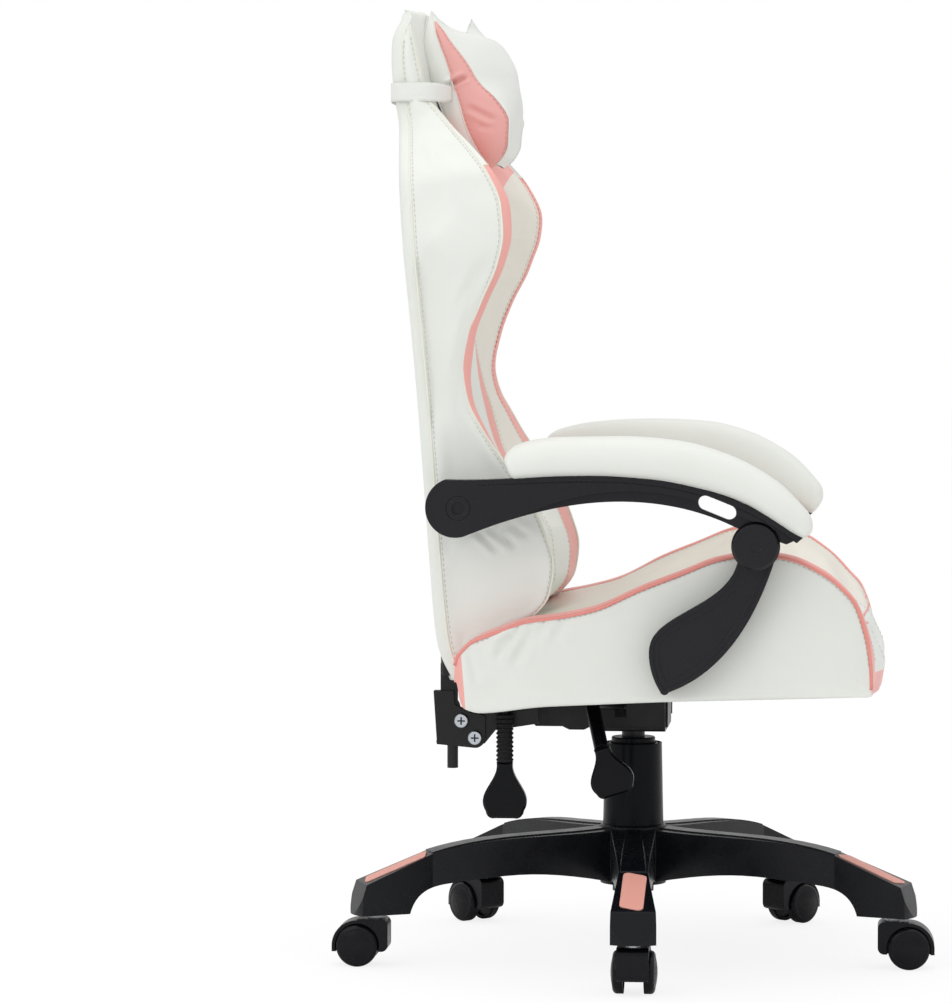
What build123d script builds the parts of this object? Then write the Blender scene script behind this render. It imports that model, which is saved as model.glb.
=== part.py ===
"""Gaming chair: reclining back, gas lift, linked armrests and a five-star base on casters.

Millimetres. The origin is on the floor, on the axis of the gas lift. The sitter faces -Y and
+Z is up, so the sitter's right side is at -X. Side outlines are drawn as (forward, height).
"""
from build123d import *
import math
import os

# ---- clearances
RUN = 0.05            # radial clearance of a pin in its bore
SOFT_GAP = 0.3        # gap between upholstery and what it lies against
SIDE_GAP = 0.5        # gap beside a plate that swings past another
SWEEP_GAP = 4.6       # radial room of the free pivot of the arm linkage
SHRINK_STEPS = 8      # directions an outline is drawn in from

# ---- width of the chair: half the seat, and what is set out from it
SEAT_HALF = 255.0
BACK_HALF = SEAT_HALF + 7.0

# ---- five-star base
LEG_COUNT = 5
LEG_YAW = 183.4       # heading of the first leg, degrees from +X
LEG_REACH = 354.0     # lift axis to the tip of a leg
STEM_INSET = 29.0     # caster stem in from the tip
STEM_REACH = LEG_REACH - STEM_INSET
HUB_R = 40.0
HUB_BOTTOM = 88.0
HUB_TOP = 160.0
TIP_BOTTOM = 62.0
LEG_HALF = 17.0       # half width of a leg at its slimmest
LEG_TIP_HALF = 26.5
LEG_NOSE = 7.0        # how far the blunt nose of a leg bows out
LEG_ROOT_HALF = 28.0
LEG_WALL = 4.0
RIB = 3.0
RIB_REACHES = (105, 165, 225)
SLOPE_RUN = 84.0      # the sloped end of a leg, seen from above
NOSE_RUN = 12.0
PAD_START = LEG_REACH - NOSE_RUN - SLOPE_RUN
SLOPE_END = LEG_REACH - NOSE_RUN
PAD_LENGTH = 80.0
PAD_WIDTH = 27.0
PAD_SKEW = 10.0
PAD_LEAN = 5.0        # sideways shift of the pad's outer end
PAD_THICK = 3.5
PAD_PROUD = 1.0
PAD_INSET = 4.5       # pad's start from the top of the slope
PAD_CORNER_R = 6.0
PAD_FIT = 0.2
SLOPE_TOP = 133.3     # leg height where the sloped end begins and ends
SLOPE_FOOT = 99.5
LEG_SHOULDER = (130.0, 150.0)   # points of the leg's upper and lower lines: (reach, height)
LEG_BACK = (202.0, 144.5)
LEG_ARCH = ((270.0, 87.0), (228.0, 98.0), (135.0, 104.5), (HUB_R, 93.0))
FOOT_LENGTH = 67.0    # flat underside at the tip of a leg
LEG_WAIST = 120.0
SOCKET_WALL = 3.5
SPINE_HALF_HUB = 9.0 # raised spine along the top of a leg
SPINE_HALF_PAD = 15.0
SPINE_PROUD = 1.6

# ---- casters
WHEEL_R = 25.0
WHEEL_INNER = 12.0    # half gap between the twin wheels
WHEEL_TREAD = 20.0    # where the tread ends and the domed face begins
WHEEL_OUTER = 27.0
CASTER_TRAIL = 20.0
CASTER_HEADINGS = (0, 270, 318, 45, 90)   # which way each caster trails at rest
HOOD_R = 30.5
HOOD_GAP = 1.5
HOOD_HALF = 18.5
HOOD_FRONT = 37.0     # axle to the flat front of the hood
HOOD_EDGE_R = 8.0
HOOD_TOP = 57.0
HOOD_BOTTOM = 18.0
HOOD_WEB = 9.5
STEM_R = 5.5
STEM_SOCKET = 30.0
STEM_COLLAR_R = 9.0
AXLE_R = 4.0
AXLE_HALF = 23.0

# ---- gas lift
LIFT_STROKE = 100.0
COLUMN_R = 25.0
COLUMN_WALL = 1.5
COLUMN_BOTTOM = 78.0
COLUMN_TOP = 255.0
COLUMN_FLOOR = 4.0
BUSH_LENGTH = 86.0
SPRING_R = 14.0
SPRING_BORE = 12.0
SPRING_BOTTOM = 100.0
SPRING_TOP = 296.0
ROD_R = 5.0
ROD_FOOT = 72.0
PISTON_TOP = SPRING_BOTTOM + LIFT_STROKE + 50.0
BEARING_R = 12.0
BEARING_HEIGHT = 6.0
COVER_WALL = 1.8
COVER_FOOT_R = 36.8
COVER_TOP_R = 34.8
COVER_TOP = 259.0
COVER_MIDDLE_R = 29.9
COVER_UPPER_R = 26.6
COVER_UPPER_TOP = 266.0
VALVE_R = 2.5
VALVE_LENGTH = 18.0

# ---- mechanism under the seat
SOCKET_R = 21.0
TRAY_HALF = 46.0
TRAY_REAR = -37.0
TRAY_FRONT = 41.0
TRAY_BOTTOM = 276.0
SHEET = 3.0
PLATE_HALF = 88.0
PLATE_REAR = -118.0
PLATE_FRONT = 43.0
FLANGE_BOTTOM = 286.0
BOARD_BOTTOM = 337.0
BOARD_THICK = 12.0
BOARD_HALF = SEAT_HALF - 25.0
BOARD_REAR = -146.0
BOARD_FRONT = 248.0
BOLT_R = 4.0
BOLT_HEAD_R = 6.5
CHEEK_BOLT_HEAD_R = 8.5
CHEEK_BOLT_HEAD = 4.0
BOLT_CROSS = 9.0      # length of each bar of the cross recess
BOLT_SLOT = 1.8
BOLT_CROSS_DEEP = 2.0
NUT_R = 5.5
NUT = 4.0
BOLT_HEAD = 5.0

# ---- levers
LEVER_ROD_R = 4.0
TRUNNION_LENGTH = 22.0
LIFT_LEVER_Z = 307.0
LIFT_LEVER_PIVOT = TRAY_HALF - SHEET / 2    # where it rocks in the wall of the tray
LIFT_LEVER_BEND = 60.0                      # straight as far as this, then angled to the rear
LIFT_LEVER_ELBOW = (165.0, -39.0, 319.0)    # (out, forward, height) where it turns down
LIFT_PADDLE = (205.0, -25.0, 271.0)         # (out, forward, height) of the paddle's neck
LIFT_PADDLE_TILT = 18.0
HANDLE_R = 8.5
RECLINE_LEVER_U = -138.0
RECLINE_LEVER_Z = 321.0
SLEEVE_R = 10.5
SLEEVE_TOP = 313.0
SLEEVE_BOTTOM = 256.0
GRIP_ROD_LOW = SLEEVE_BOTTOM - 30.0
SLEEVE_RIBS = 11
SLEEVE_RIB = 2.0
PADDLE_LENGTH = 66.0
PADDLE_WIDTH = 46.0
PADDLE_THICK = 12.0
PADDLE_NECK = 19.0

# ---- recliner
RECLINE_U = -205.0
RECLINE_Z = 318.0
CHEEK_INNER = SEAT_HALF - 63.5
CHEEK_OUTER = CHEEK_INNER + 13.0
CHEEK_THICK = 3.0
RECLINER_BOLTS = ((-190.0, 303.0), (-174.0, 283.0))
RECLINER_BOLT_R = 3.0
HINGE_PIN_R = 5.0
NECK_R = 13.0
NECK_LENGTH = 52.0
NECK_WIDTH = 20.0
RECLINE_LEVER_X = CHEEK_OUTER + 9.5
CHEEK_LOBE_R = 12.0
SPIGOT_R = 6.4

# ---- arms and their linkage
ARM_PIVOT = (-180.0, 559.0)
FRONT_PIVOT = (157.0, 515.0)
LINK_PIVOT = (62.0, 368.0)
ARM_PIN_R = 6.0
LINK_INNER = SEAT_HALF + 9.0
LINK_THICK = 14.0
LINK_PIN_END = LINK_INNER + 7.0
WEB_INNER = LINK_INNER + LINK_THICK + 2.0
WEB_THICK = 10.0
RAIL_OUTER = WEB_INNER + 22.0
ARM_PAD_INNER = WEB_INNER - 30.0
ARM_PAD_OUTER = RAIL_OUTER + 20.0
ARM_BOSS_INNER = SEAT_HALF - 13.0
CAP_R = 28.0
CAP_THICK = 8.0
CAP_DIMPLE_R = 7.0
ARM_PIN_LENGTH = 11.0
SLOT_LENGTH = 46.0
SLOT_HEIGHT = 17.0

# ---- back and seat
BACK_TUBE_R = 11.0
BACK_TUBE_X = CHEEK_INNER + 5.5
BACK_TUBE_U = -204.0
BACK_TUBE_TOP = 700.0
CROSS_TUBE_LOW = 430.0
CROSS_TUBE_SET_BACK = 14.0  # how far the upper cross tube sits behind the side tubes
HEAD_TUBE_X = 110.0
HEAD_TUBE_U = -257.0
HEAD_TUBE_TOP = 1085.0
BACK_HALF_HEAD = 165.0
STRAP_LOW = 1029.0
STRAP_HIGH = 1053.0
STRAP_THICK = 1.6
STRAP_FIT = 2.4
STRAP_TURN = 209.0    # behind the lift axis, where the band turns round the head
STRAP_REAR = 276.0
REAR_CAP = (-232.0, 486.0)
REAR_CAP_R = 14.0
REAR_CAP_LENGTH = 20.0

UPWARD = (Align.CENTER, Align.CENTER, Align.MIN)
parts = {}


def side_plane(x):
    """Upright fore-and-aft plane at x; its sketches are (forward, height)."""
    return Plane(origin=(x, 0, 0), x_dir=(0, -1, 0), z_dir=(-1, 0, 0))


def side_slab(sketch, x_near, x_far):
    """A side outline made into a slab between two distances from the middle plane, at +X."""
    return extrude(side_plane(x_far) * sketch, amount=x_far - x_near, dir=(-1, 0, 0))


def channel(outline, shallow, half_floor, half_mouth):
    """A trough across the middle: full depth inside half_floor, then sloping up to half_mouth."""
    floor = side_slab(outline, -half_floor, half_floor)
    deep_end = side_plane(half_floor) * outline
    high_end = side_plane(half_mouth) * shallow
    slope = loft([deep_end.face(), high_end.face()], ruled=True)
    return floor + slope + mirrored(slope)


def shrunk(outline, margin):
    """An outline drawn in by a margin all round."""
    inside = outline
    for k in range(SHRINK_STEPS):
        turn = 2 * math.pi * k / SHRINK_STEPS
        inside = inside & (Pos(margin * math.cos(turn), margin * math.sin(turn)) * outline)
    return inside


def cross_pin(point, radius, x_near, x_far):
    """A pin lying across the chair at a (forward, height) point."""
    return side_slab(Pos(*point) * Circle(radius), x_near, x_far)


def post(radius, bottom, top, at=(0, 0)):
    """An upright cylinder between two heights."""
    return Pos(at[0], at[1], bottom) * Cylinder(radius, top - bottom, align=UPWARD)


def tube(radius, bore, bottom, top, at=(0, 0)):
    """An upright tube between two heights."""
    return post(radius, bottom, top, at) - post(bore, bottom - 1, top + 1, at)


def box_between(low, high):
    """A box from its lowest to its highest corner."""
    size = [high[i] - low[i] for i in range(3)]
    middle = [(high[i] + low[i]) / 2 for i in range(3)]
    return Pos(*middle) * Box(*size)


def region(*edges):
    """A face inside a closed run of edges."""
    return make_face(Curve() + list(edges))


def mirrored(shape):
    """The same piece on the other side of the chair."""
    return mirror(shape, about=Plane.YZ)


def both_sides(name, shape):
    """A handed piece: left is +X, right is -X."""
    parts[name + "_left"] = shape
    parts[name + "_right"] = mirrored(shape)


def join(shapes):
    """Group of separate solids in one node."""
    return Compound(children=[s for s in shapes])


# ---------------------------------------------------------------- base
def leg_profile():
    """Side outline of a leg in (radius, height)."""
    heel = (LEG_REACH - FOOT_LENGTH, TIP_BOTTOM)
    crest = Spline((0, HUB_TOP), LEG_SHOULDER, LEG_BACK, (PAD_START, SLOPE_TOP))
    slope = Line((PAD_START, SLOPE_TOP), (SLOPE_END, SLOPE_FOOT))
    nose = Line((SLOPE_END, SLOPE_FOOT), (LEG_REACH, TIP_BOTTOM))
    foot = Line((LEG_REACH, TIP_BOTTOM), heel)
    arch = Spline(heel, *LEG_ARCH)
    root = Line(LEG_ARCH[-1], (0, HUB_BOTTOM))
    return region(crest, slope, nose, foot, arch, root, Line((0, HUB_BOTTOM), (0, HUB_TOP)))


def leg_spine():
    """Raised spine from the hub to the pad, its sides showing as two creases."""
    start = HUB_R - SPINE_PROUD
    lift = Pos(0, SPINE_PROUD)
    crest = lift * Spline((0, HUB_TOP), LEG_SHOULDER, LEG_BACK, (PAD_START, SLOPE_TOP))
    under = Spline((0, HUB_TOP), LEG_SHOULDER, LEG_BACK, (PAD_START, SLOPE_TOP)).moved(Pos(0, -LEG_WALL / 2))
    strip = region(crest, Line(crest @ 1, under @ 1), under, Line(under @ 0, crest @ 0))
    plan = region(Polyline((start, SPINE_HALF_HUB), (PAD_START, SPINE_HALF_PAD), (PAD_START, -SPINE_HALF_PAD),
                           (start, -SPINE_HALF_HUB), close=True))
    tall = extrude(Plane.XZ * strip, amount=LEG_ROOT_HALF, both=True)
    return tall & extrude(plan, amount=HUB_TOP + LEG_WALL)


def leg_plan(wall):
    """Plan outline of a leg, drawn in by a wall: slim in the middle, flared to a rounded nose."""
    tip = (LEG_REACH - LEG_NOSE - wall, LEG_TIP_HALF - wall)
    waist = (LEG_WAIST, LEG_ROOT_HALF - 4 - wall)
    slim = (PAD_START, LEG_HALF - wall)
    side = Spline((0, LEG_ROOT_HALF - wall), waist, slim)
    flare = Line(slim, tip)
    nose = ThreePointArc(tip, (LEG_REACH - wall, 0), (tip[0], -tip[1]))
    root = Line((0, LEG_ROOT_HALF - wall), (0, wall - LEG_ROOT_HALF))
    return region(side, flare, nose, flare.mirror(Plane.XZ), side.mirror(Plane.XZ), root)


def leg_block():
    """The crossing of a leg's side and plan outlines."""
    tall = extrude(Plane.XZ * leg_profile(), amount=LEG_TIP_HALF + 5, both=True)
    return tall & extrude(leg_plan(0), amount=HUB_TOP + 5)


def slope_plane():
    """Plane of the leg's sloped end, its x axis running down the slope."""
    run = Vector(SLOPE_END - PAD_START, 0, SLOPE_FOOT - SLOPE_TOP)
    across = Vector(0, 1, 0)
    return Plane(origin=(PAD_START, 0, SLOPE_TOP), x_dir=run, z_dir=run.cross(across))


def pad_sketch(grow):
    """Skewed outline of a foot pad, its corners rounded."""
    start = PAD_INSET
    half = PAD_WIDTH / 2
    skew = PAD_SKEW / 2
    lean = PAD_LEAN / 2
    corners = [(start - skew, lean - half), (start - skew + PAD_LENGTH, -lean - half),
               (start + skew + PAD_LENGTH, half - lean), (start + skew, half + lean)]
    outline = make_face(Polyline(*corners, close=True))
    outline = fillet(outline.vertices(), PAD_CORNER_R)
    return offset(outline, amount=grow) if grow else outline


def leg_cavity():
    """What is open under a leg, with its cross ribs and the caster socket left standing."""
    start = HUB_R + 8
    skin = LEG_WALL
    ceiling = Spline((start, HUB_TOP - 5 - skin), (LEG_SHOULDER[0], LEG_SHOULDER[1] - skin),
                     (LEG_BACK[0], LEG_BACK[1] - skin), (PAD_START, SLOPE_TOP - skin - PAD_THICK))
    slope = Line((PAD_START, SLOPE_TOP - skin - PAD_THICK), (SLOPE_END - skin, SLOPE_FOOT - skin - 1))
    nose = Line((SLOPE_END - skin, SLOPE_FOOT - skin - 1), (LEG_REACH - skin, 0))
    space = region(ceiling, slope, nose, Line((LEG_REACH - skin, 0), (start, 0)),
                   Line((start, 0), (start, HUB_TOP - 5 - skin)))
    space = extrude(Plane.XZ * space, amount=LEG_TIP_HALF + 5, both=True)
    space = space & extrude(leg_plan(LEG_WALL), amount=HUB_TOP)
    for middle in RIB_REACHES:
        space = space - box_between((middle - RIB / 2, -LEG_ROOT_HALF, 0),
                                    (middle + RIB / 2, LEG_ROOT_HALF, HUB_TOP))
    return space - post(STEM_COLLAR_R + SOCKET_WALL, 0, HUB_TOP, (STEM_REACH, 0))


def base_star():
    hub = post(HUB_R, HUB_BOTTOM, HUB_TOP)
    hub = chamfer(hub.edges().group_by(Axis.Z)[-1], 2)
    leg = leg_block()
    hollow = leg_cavity()
    recess = extrude(slope_plane() * pad_sketch(PAD_FIT), amount=-(PAD_THICK - PAD_PROUD))
    socket = post(STEM_R + RUN, TIP_BOTTOM - 1, TIP_BOTTOM + STEM_SOCKET, (STEM_REACH, 0))
    leg = leg - hollow - recess - socket + leg_spine()
    star = hub
    for k in range(LEG_COUNT):
        star = star + Rot(0, 0, LEG_YAW + k * 360 / LEG_COUNT) * leg
    return star - post(COLUMN_R + RUN, HUB_BOTTOM - 30, HUB_TOP + 1)


def foot_pad():
    body = extrude(slope_plane() * pad_sketch(0), amount=-(PAD_THICK - PAD_PROUD))
    return body + extrude(slope_plane() * pad_sketch(0), amount=PAD_PROUD)


def make_base():
    parts["base_star"] = base_star()
    pad = foot_pad()
    turns = [Rot(0, 0, LEG_YAW + k * 360 / LEG_COUNT) for k in range(LEG_COUNT)]
    parts["foot_pads"] = join([turn * pad for turn in turns])


# ---------------------------------------------------------------- casters
def caster_hood():
    """Hood with its stem socket, the axle at the origin's height WHEEL_R and trailing to +X."""
    axle = (CASTER_TRAIL, WHEEL_R)
    rim = Pos(*axle) * Circle(HOOD_R) - Pos(*axle) * Rectangle(4 * HOOD_R, 2 * HOOD_R,
                                                               align=(Align.CENTER, Align.MAX))
    skirt = Pos(axle[0], HOOD_BOTTOM) * Rectangle(2 * HOOD_R, WHEEL_R - HOOD_BOTTOM,
                                                  align=(Align.CENTER, Align.MIN))
    front = Pos(axle[0] - HOOD_FRONT, HOOD_BOTTOM) * Rectangle(HOOD_FRONT, HOOD_TOP - HOOD_BOTTOM,
                                                              align=(Align.MIN, Align.MIN))
    front = fillet(front.vertices().sort_by(Axis.X)[:2], HOOD_EDGE_R)
    shell = extrude(Plane.XZ * (rim + skirt + front), amount=HOOD_HALF, both=True)
    disc = Pos(axle[0], 0, axle[1]) * Rot(90, 0, 0) * Cylinder(WHEEL_R + HOOD_GAP, 2 * HOOD_HALF + 2)
    web = Pos(axle[0], 0, axle[1]) * Rot(90, 0, 0) * Cylinder(WHEEL_R + HOOD_GAP + 1, 2 * HOOD_WEB)
    lower = box_between((axle[0] - 60, -30, 0), (axle[0] + 60, 30, HOOD_BOTTOM))
    shell = shell - (disc - web)
    shell = shell - lower
    bore = Pos(axle[0], 0, axle[1]) * Rot(90, 0, 0) * Cylinder(AXLE_R + RUN, 60)
    socket = post(STEM_R + RUN, HOOD_TOP - 22, HOOD_TOP + 1)
    return shell - bore - socket


def caster_pins():
    """Steel stem with its collar, and the axle."""
    stem = post(STEM_R, HOOD_TOP - 21, TIP_BOTTOM + STEM_SOCKET - 1)
    stem = stem + post(STEM_COLLAR_R, HOOD_TOP + 0.2, TIP_BOTTOM - 0.3)
    axle = Pos(CASTER_TRAIL, 0, WHEEL_R) * Rot(90, 0, 0) * Cylinder(AXLE_R, 2 * AXLE_HALF)
    return [stem, axle]


def caster_wheel(side):
    """One wheel: rolling tread, domed outer face, blind bore and a hollow inner face."""
    crown_r = 0.76 * WHEEL_R
    crown_drop = 2.6
    sphere_r = (crown_r ** 2 + crown_drop ** 2) / (2 * crown_drop)
    edge = (crown_r, WHEEL_OUTER - crown_drop)
    crown = RadiusArc((0, WHEEL_OUTER), edge, sphere_r)
    shoulder = ThreePointArc(edge, (WHEEL_R - 1.4, (edge[1] + WHEEL_TREAD) / 2 + 0.6), (WHEEL_R, WHEEL_TREAD))
    outline = [Line((0, AXLE_HALF + 1), (0, WHEEL_OUTER)), crown, shoulder,
               Line((WHEEL_R, WHEEL_TREAD), (WHEEL_R, WHEEL_INNER)),
               Line((WHEEL_R, WHEEL_INNER), (WHEEL_R - 4, WHEEL_INNER)),
               Line((WHEEL_R - 4, WHEEL_INNER), (WHEEL_R - 5, WHEEL_INNER + 4)),
               Line((WHEEL_R - 5, WHEEL_INNER + 4), (10, WHEEL_INNER + 4)),
               Line((10, WHEEL_INNER + 4), (9, WHEEL_INNER)),
               Line((9, WHEEL_INNER), (AXLE_R + RUN, WHEEL_INNER)),
               Line((AXLE_R + RUN, WHEEL_INNER), (AXLE_R + RUN, AXLE_HALF + 1)),
               Line((AXLE_R + RUN, AXLE_HALF + 1), (0, AXLE_HALF + 1))]
    wheel = revolve(region(*outline), Axis.Y)
    if side < 0:
        wheel = mirror(wheel, about=Plane.XZ)
    return Pos(CASTER_TRAIL, 0, WHEEL_R) * wheel


def make_casters():
    hood = caster_hood()
    pins = caster_pins()
    wheels = {"a": caster_wheel(1), "b": caster_wheel(-1)}
    for k in range(LEG_COUNT):
        yaw = math.radians(LEG_YAW + k * 360 / LEG_COUNT)
        spot = Pos(STEM_REACH * math.cos(yaw), STEM_REACH * math.sin(yaw), 0)
        place = spot * Rot(0, 0, CASTER_HEADINGS[k])
        name = "caster_%d" % (k + 1)
        parts[name + "_hood"] = place * hood
        parts[name + "_pins"] = join([place * pin for pin in pins])
        for side, wheel in wheels.items():
            parts[name + "_wheel_" + side] = place * wheel


# ---------------------------------------------------------------- gas lift
def make_lift():
    bore = COLUMN_R - COLUMN_WALL
    floor = COLUMN_BOTTOM + COLUMN_FLOOR
    column = post(COLUMN_R, COLUMN_BOTTOM, COLUMN_TOP) - post(bore, floor, COLUMN_TOP + 1)
    parts["column_tube"] = column - post(ROD_R + RUN, COLUMN_BOTTOM - 1, COLUMN_TOP)
    parts["guide_bush"] = tube(bore - RUN, SPRING_R + RUN, COLUMN_TOP - BUSH_LENGTH, COLUMN_TOP - 0.5)
    race_top = floor + BEARING_HEIGHT
    parts["thrust_bearing"] = tube(BEARING_R, ROD_R + 0.2, floor, race_top)
    clip_top = COLUMN_BOTTOM - 0.1
    rod = post(ROD_R, ROD_FOOT, PISTON_TOP)
    rod = rod + post(ROD_R + 3, race_top + 0.05, race_top + 4)
    rod = rod + post(SPRING_BORE - 0.2, PISTON_TOP - 10, PISTON_TOP)
    parts["piston_rod"] = rod
    parts["rod_clip"] = tube(ROD_R + 4, ROD_R + RUN, clip_top - 2.5, clip_top)
    spring = post(SPRING_R, SPRING_BOTTOM, SPRING_TOP)
    spring = spring - post(SPRING_BORE, SPRING_BOTTOM + 10, SPRING_TOP - 14)
    spring = spring - post(ROD_R + RUN, SPRING_BOTTOM - 1, SPRING_BOTTOM + 20)
    parts["gas_spring"] = spring - post(VALVE_R + RUN, SPRING_TOP - 20, SPRING_TOP + 1)
    valve_top = LIFT_LEVER_Z - LEVER_ROD_R - 0.1
    parts["valve_pin"] = post(VALVE_R, valve_top - VALVE_LENGTH, valve_top)
    height = COVER_TOP - HUB_TOP
    lower = Cone(COVER_FOOT_R, COVER_TOP_R, height, align=UPWARD)
    inner = Cone(COVER_FOOT_R - COVER_WALL, COVER_TOP_R - COVER_WALL, height, align=UPWARD)
    parts["cover_lower"] = Pos(0, 0, HUB_TOP) * (lower - inner)
    parts["cover_middle"] = tube(COVER_MIDDLE_R, COVER_MIDDLE_R - 1.6, HUB_TOP + 0.5, COVER_TOP - 0.5)
    upper = post(COVER_UPPER_R, HUB_TOP + 1, COVER_UPPER_TOP)
    upper = upper - post(COLUMN_R + 0.5, HUB_TOP, COVER_UPPER_TOP - 2)
    upper = chamfer(upper.edges().group_by(Axis.Z)[-1], 1)
    parts["cover_upper"] = upper - post(SPRING_R + RUN, HUB_TOP, COVER_UPPER_TOP + 1)


# ---------------------------------------------------------------- mechanism
def lever_slot(x_near, x_far, forward):
    """Upright slot that lets the height lever rise and fall."""
    side = LEVER_ROD_R + 3
    return box_between((-x_far, -forward - side, LIFT_LEVER_Z - LEVER_ROD_R - 5),
                       (-x_near, -forward + side, LIFT_LEVER_Z + LEVER_ROD_R + 9))


def lever_trunnion(radius):
    """Fore-and-aft pin on which the height lever rocks, in the wall of the tray."""
    return Pos(-LIFT_LEVER_PIVOT, 0, LIFT_LEVER_Z) * Rot(90, 0, 0) * Cylinder(radius, TRUNNION_LENGTH)


def make_mechanism():
    plate_top = BOARD_BOTTOM
    plate_low = plate_top - SHEET
    plate = box_between((-PLATE_HALF, -PLATE_FRONT, plate_low), (PLATE_HALF, -PLATE_REAR, plate_top))
    flange = region(Polyline((PLATE_REAR, plate_low), (PLATE_REAR, FLANGE_BOTTOM + 6),
                             (PLATE_REAR + 6, FLANGE_BOTTOM), (-80, FLANGE_BOTTOM), (-72, FLANGE_BOTTOM - 4),
                             (-54, FLANGE_BOTTOM - 4), (-46, FLANGE_BOTTOM), (PLATE_FRONT, FLANGE_BOTTOM),
                             (PLATE_FRONT, plate_low), close=True))
    skirt = side_slab(flange, PLATE_HALF - SHEET, PLATE_HALF)
    out = (PLATE_HALF - LIFT_LEVER_BEND) / (LIFT_LEVER_ELBOW[0] - LIFT_LEVER_BEND)
    slot = lever_slot(PLATE_HALF - 5, PLATE_HALF + 5, out * LIFT_LEVER_ELBOW[1])
    plate = plate + skirt + mirrored(skirt) - slot
    bolt_spots = [(x, -u) for x in (-66, 66) for u in (-96, 30)]
    for x, y in bolt_spots:
        plate = plate - post(BOLT_R + RUN, plate_low - 1, plate_top + 1, (x, y))
    parts["mechanism_plate"] = plate
    tray = box_between((-TRAY_HALF, -TRAY_FRONT, TRAY_BOTTOM), (TRAY_HALF, -TRAY_REAR, plate_low))
    hollow = box_between((-TRAY_HALF + SHEET, -TRAY_FRONT + SHEET, TRAY_BOTTOM + SHEET),
                         (TRAY_HALF - SHEET, -TRAY_REAR - SHEET, plate_low + 1))
    tray = fillet(tray.edges().filter_by(Axis.Y).group_by(Axis.Z)[0], 4) - hollow
    lip = box_between((-TRAY_HALF + 6, -TRAY_FRONT - SHEET, TRAY_BOTTOM + 5),
                      (TRAY_HALF - 6, -TRAY_FRONT, plate_low - 8))
    tray = tray + lip - lever_slot(TRAY_HALF - 8, TRAY_HALF + 5, 0) - lever_trunnion(LEVER_ROD_R + RUN)
    parts["mechanism_tray"] = tray - post(SOCKET_R + RUN, TRAY_BOTTOM - 1, TRAY_BOTTOM + SHEET + 1)
    parts["cone_socket"] = tube(SOCKET_R, SPRING_R + RUN, TRAY_BOTTOM, SPRING_TOP)
    bolts = []
    for spot in bolt_spots:
        bolt = post(BOLT_R, plate_low - 2, plate_top + BOARD_THICK - 2, spot)
        bolts.append(bolt + post(BOLT_HEAD_R, plate_low - BOLT_HEAD, plate_low, spot))
    parts["mechanism_bolts"] = join(bolts)
    board = box_between((-BOARD_HALF, -BOARD_FRONT, BOARD_BOTTOM),
                        (BOARD_HALF, -BOARD_REAR, BOARD_BOTTOM + BOARD_THICK))
    board = fillet(board.edges().filter_by(Axis.Z), 18)
    for spot in bolt_spots:
        board = board - post(BOLT_R + RUN, BOARD_BOTTOM - 1, BOARD_BOTTOM + BOARD_THICK - 1.5, spot)
    parts["seat_board"] = board


# ---------------------------------------------------------------- levers
def paddle(width, length):
    """Flat lever paddle hanging down from its neck at the origin, in (across, height)."""
    neck = PADDLE_NECK / 2
    half = width / 2
    side = Spline((neck, 0), (neck + 1, -length * 0.18), (half, -length * 0.62), (half - 3, -length * 0.88))
    turn = ThreePointArc((half - 3, -length * 0.88), (half * 0.72, -length * 0.985), (half * 0.45, -length))
    lowest = Line((half * 0.45, -length), (-half * 0.45, -length))
    top = Line((neck, 0), (-neck, 0))
    other_side = side.mirror(Plane.YZ)
    other_turn = turn.mirror(Plane.YZ)
    return region(side, turn, lowest, other_turn, other_side, top)


def paddle_solid(width, length, x_middle, at, tilt=0):
    """Paddle as a plate facing sideways, hung at a (forward, height) point on the right side."""
    sketch = Pos(*at) * Rot(0, 0, tilt) * paddle(width, length)
    blade = extrude(side_plane(-x_middle + PADDLE_THICK / 2) * sketch, amount=PADDLE_THICK)
    rims = [e for e in blade.edges() if abs(e.center().X - (-x_middle - PADDLE_THICK / 2)) < 0.01]
    return chamfer(rims, 2.5)


def rod_between(start, end, radius, past=0):
    """A straight round rod between two points."""
    run = Vector(*end) - Vector(*start)
    return Plane(origin=start, z_dir=run) * Cylinder(radius, run.length + past,
                                                    align=UPWARD)


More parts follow.
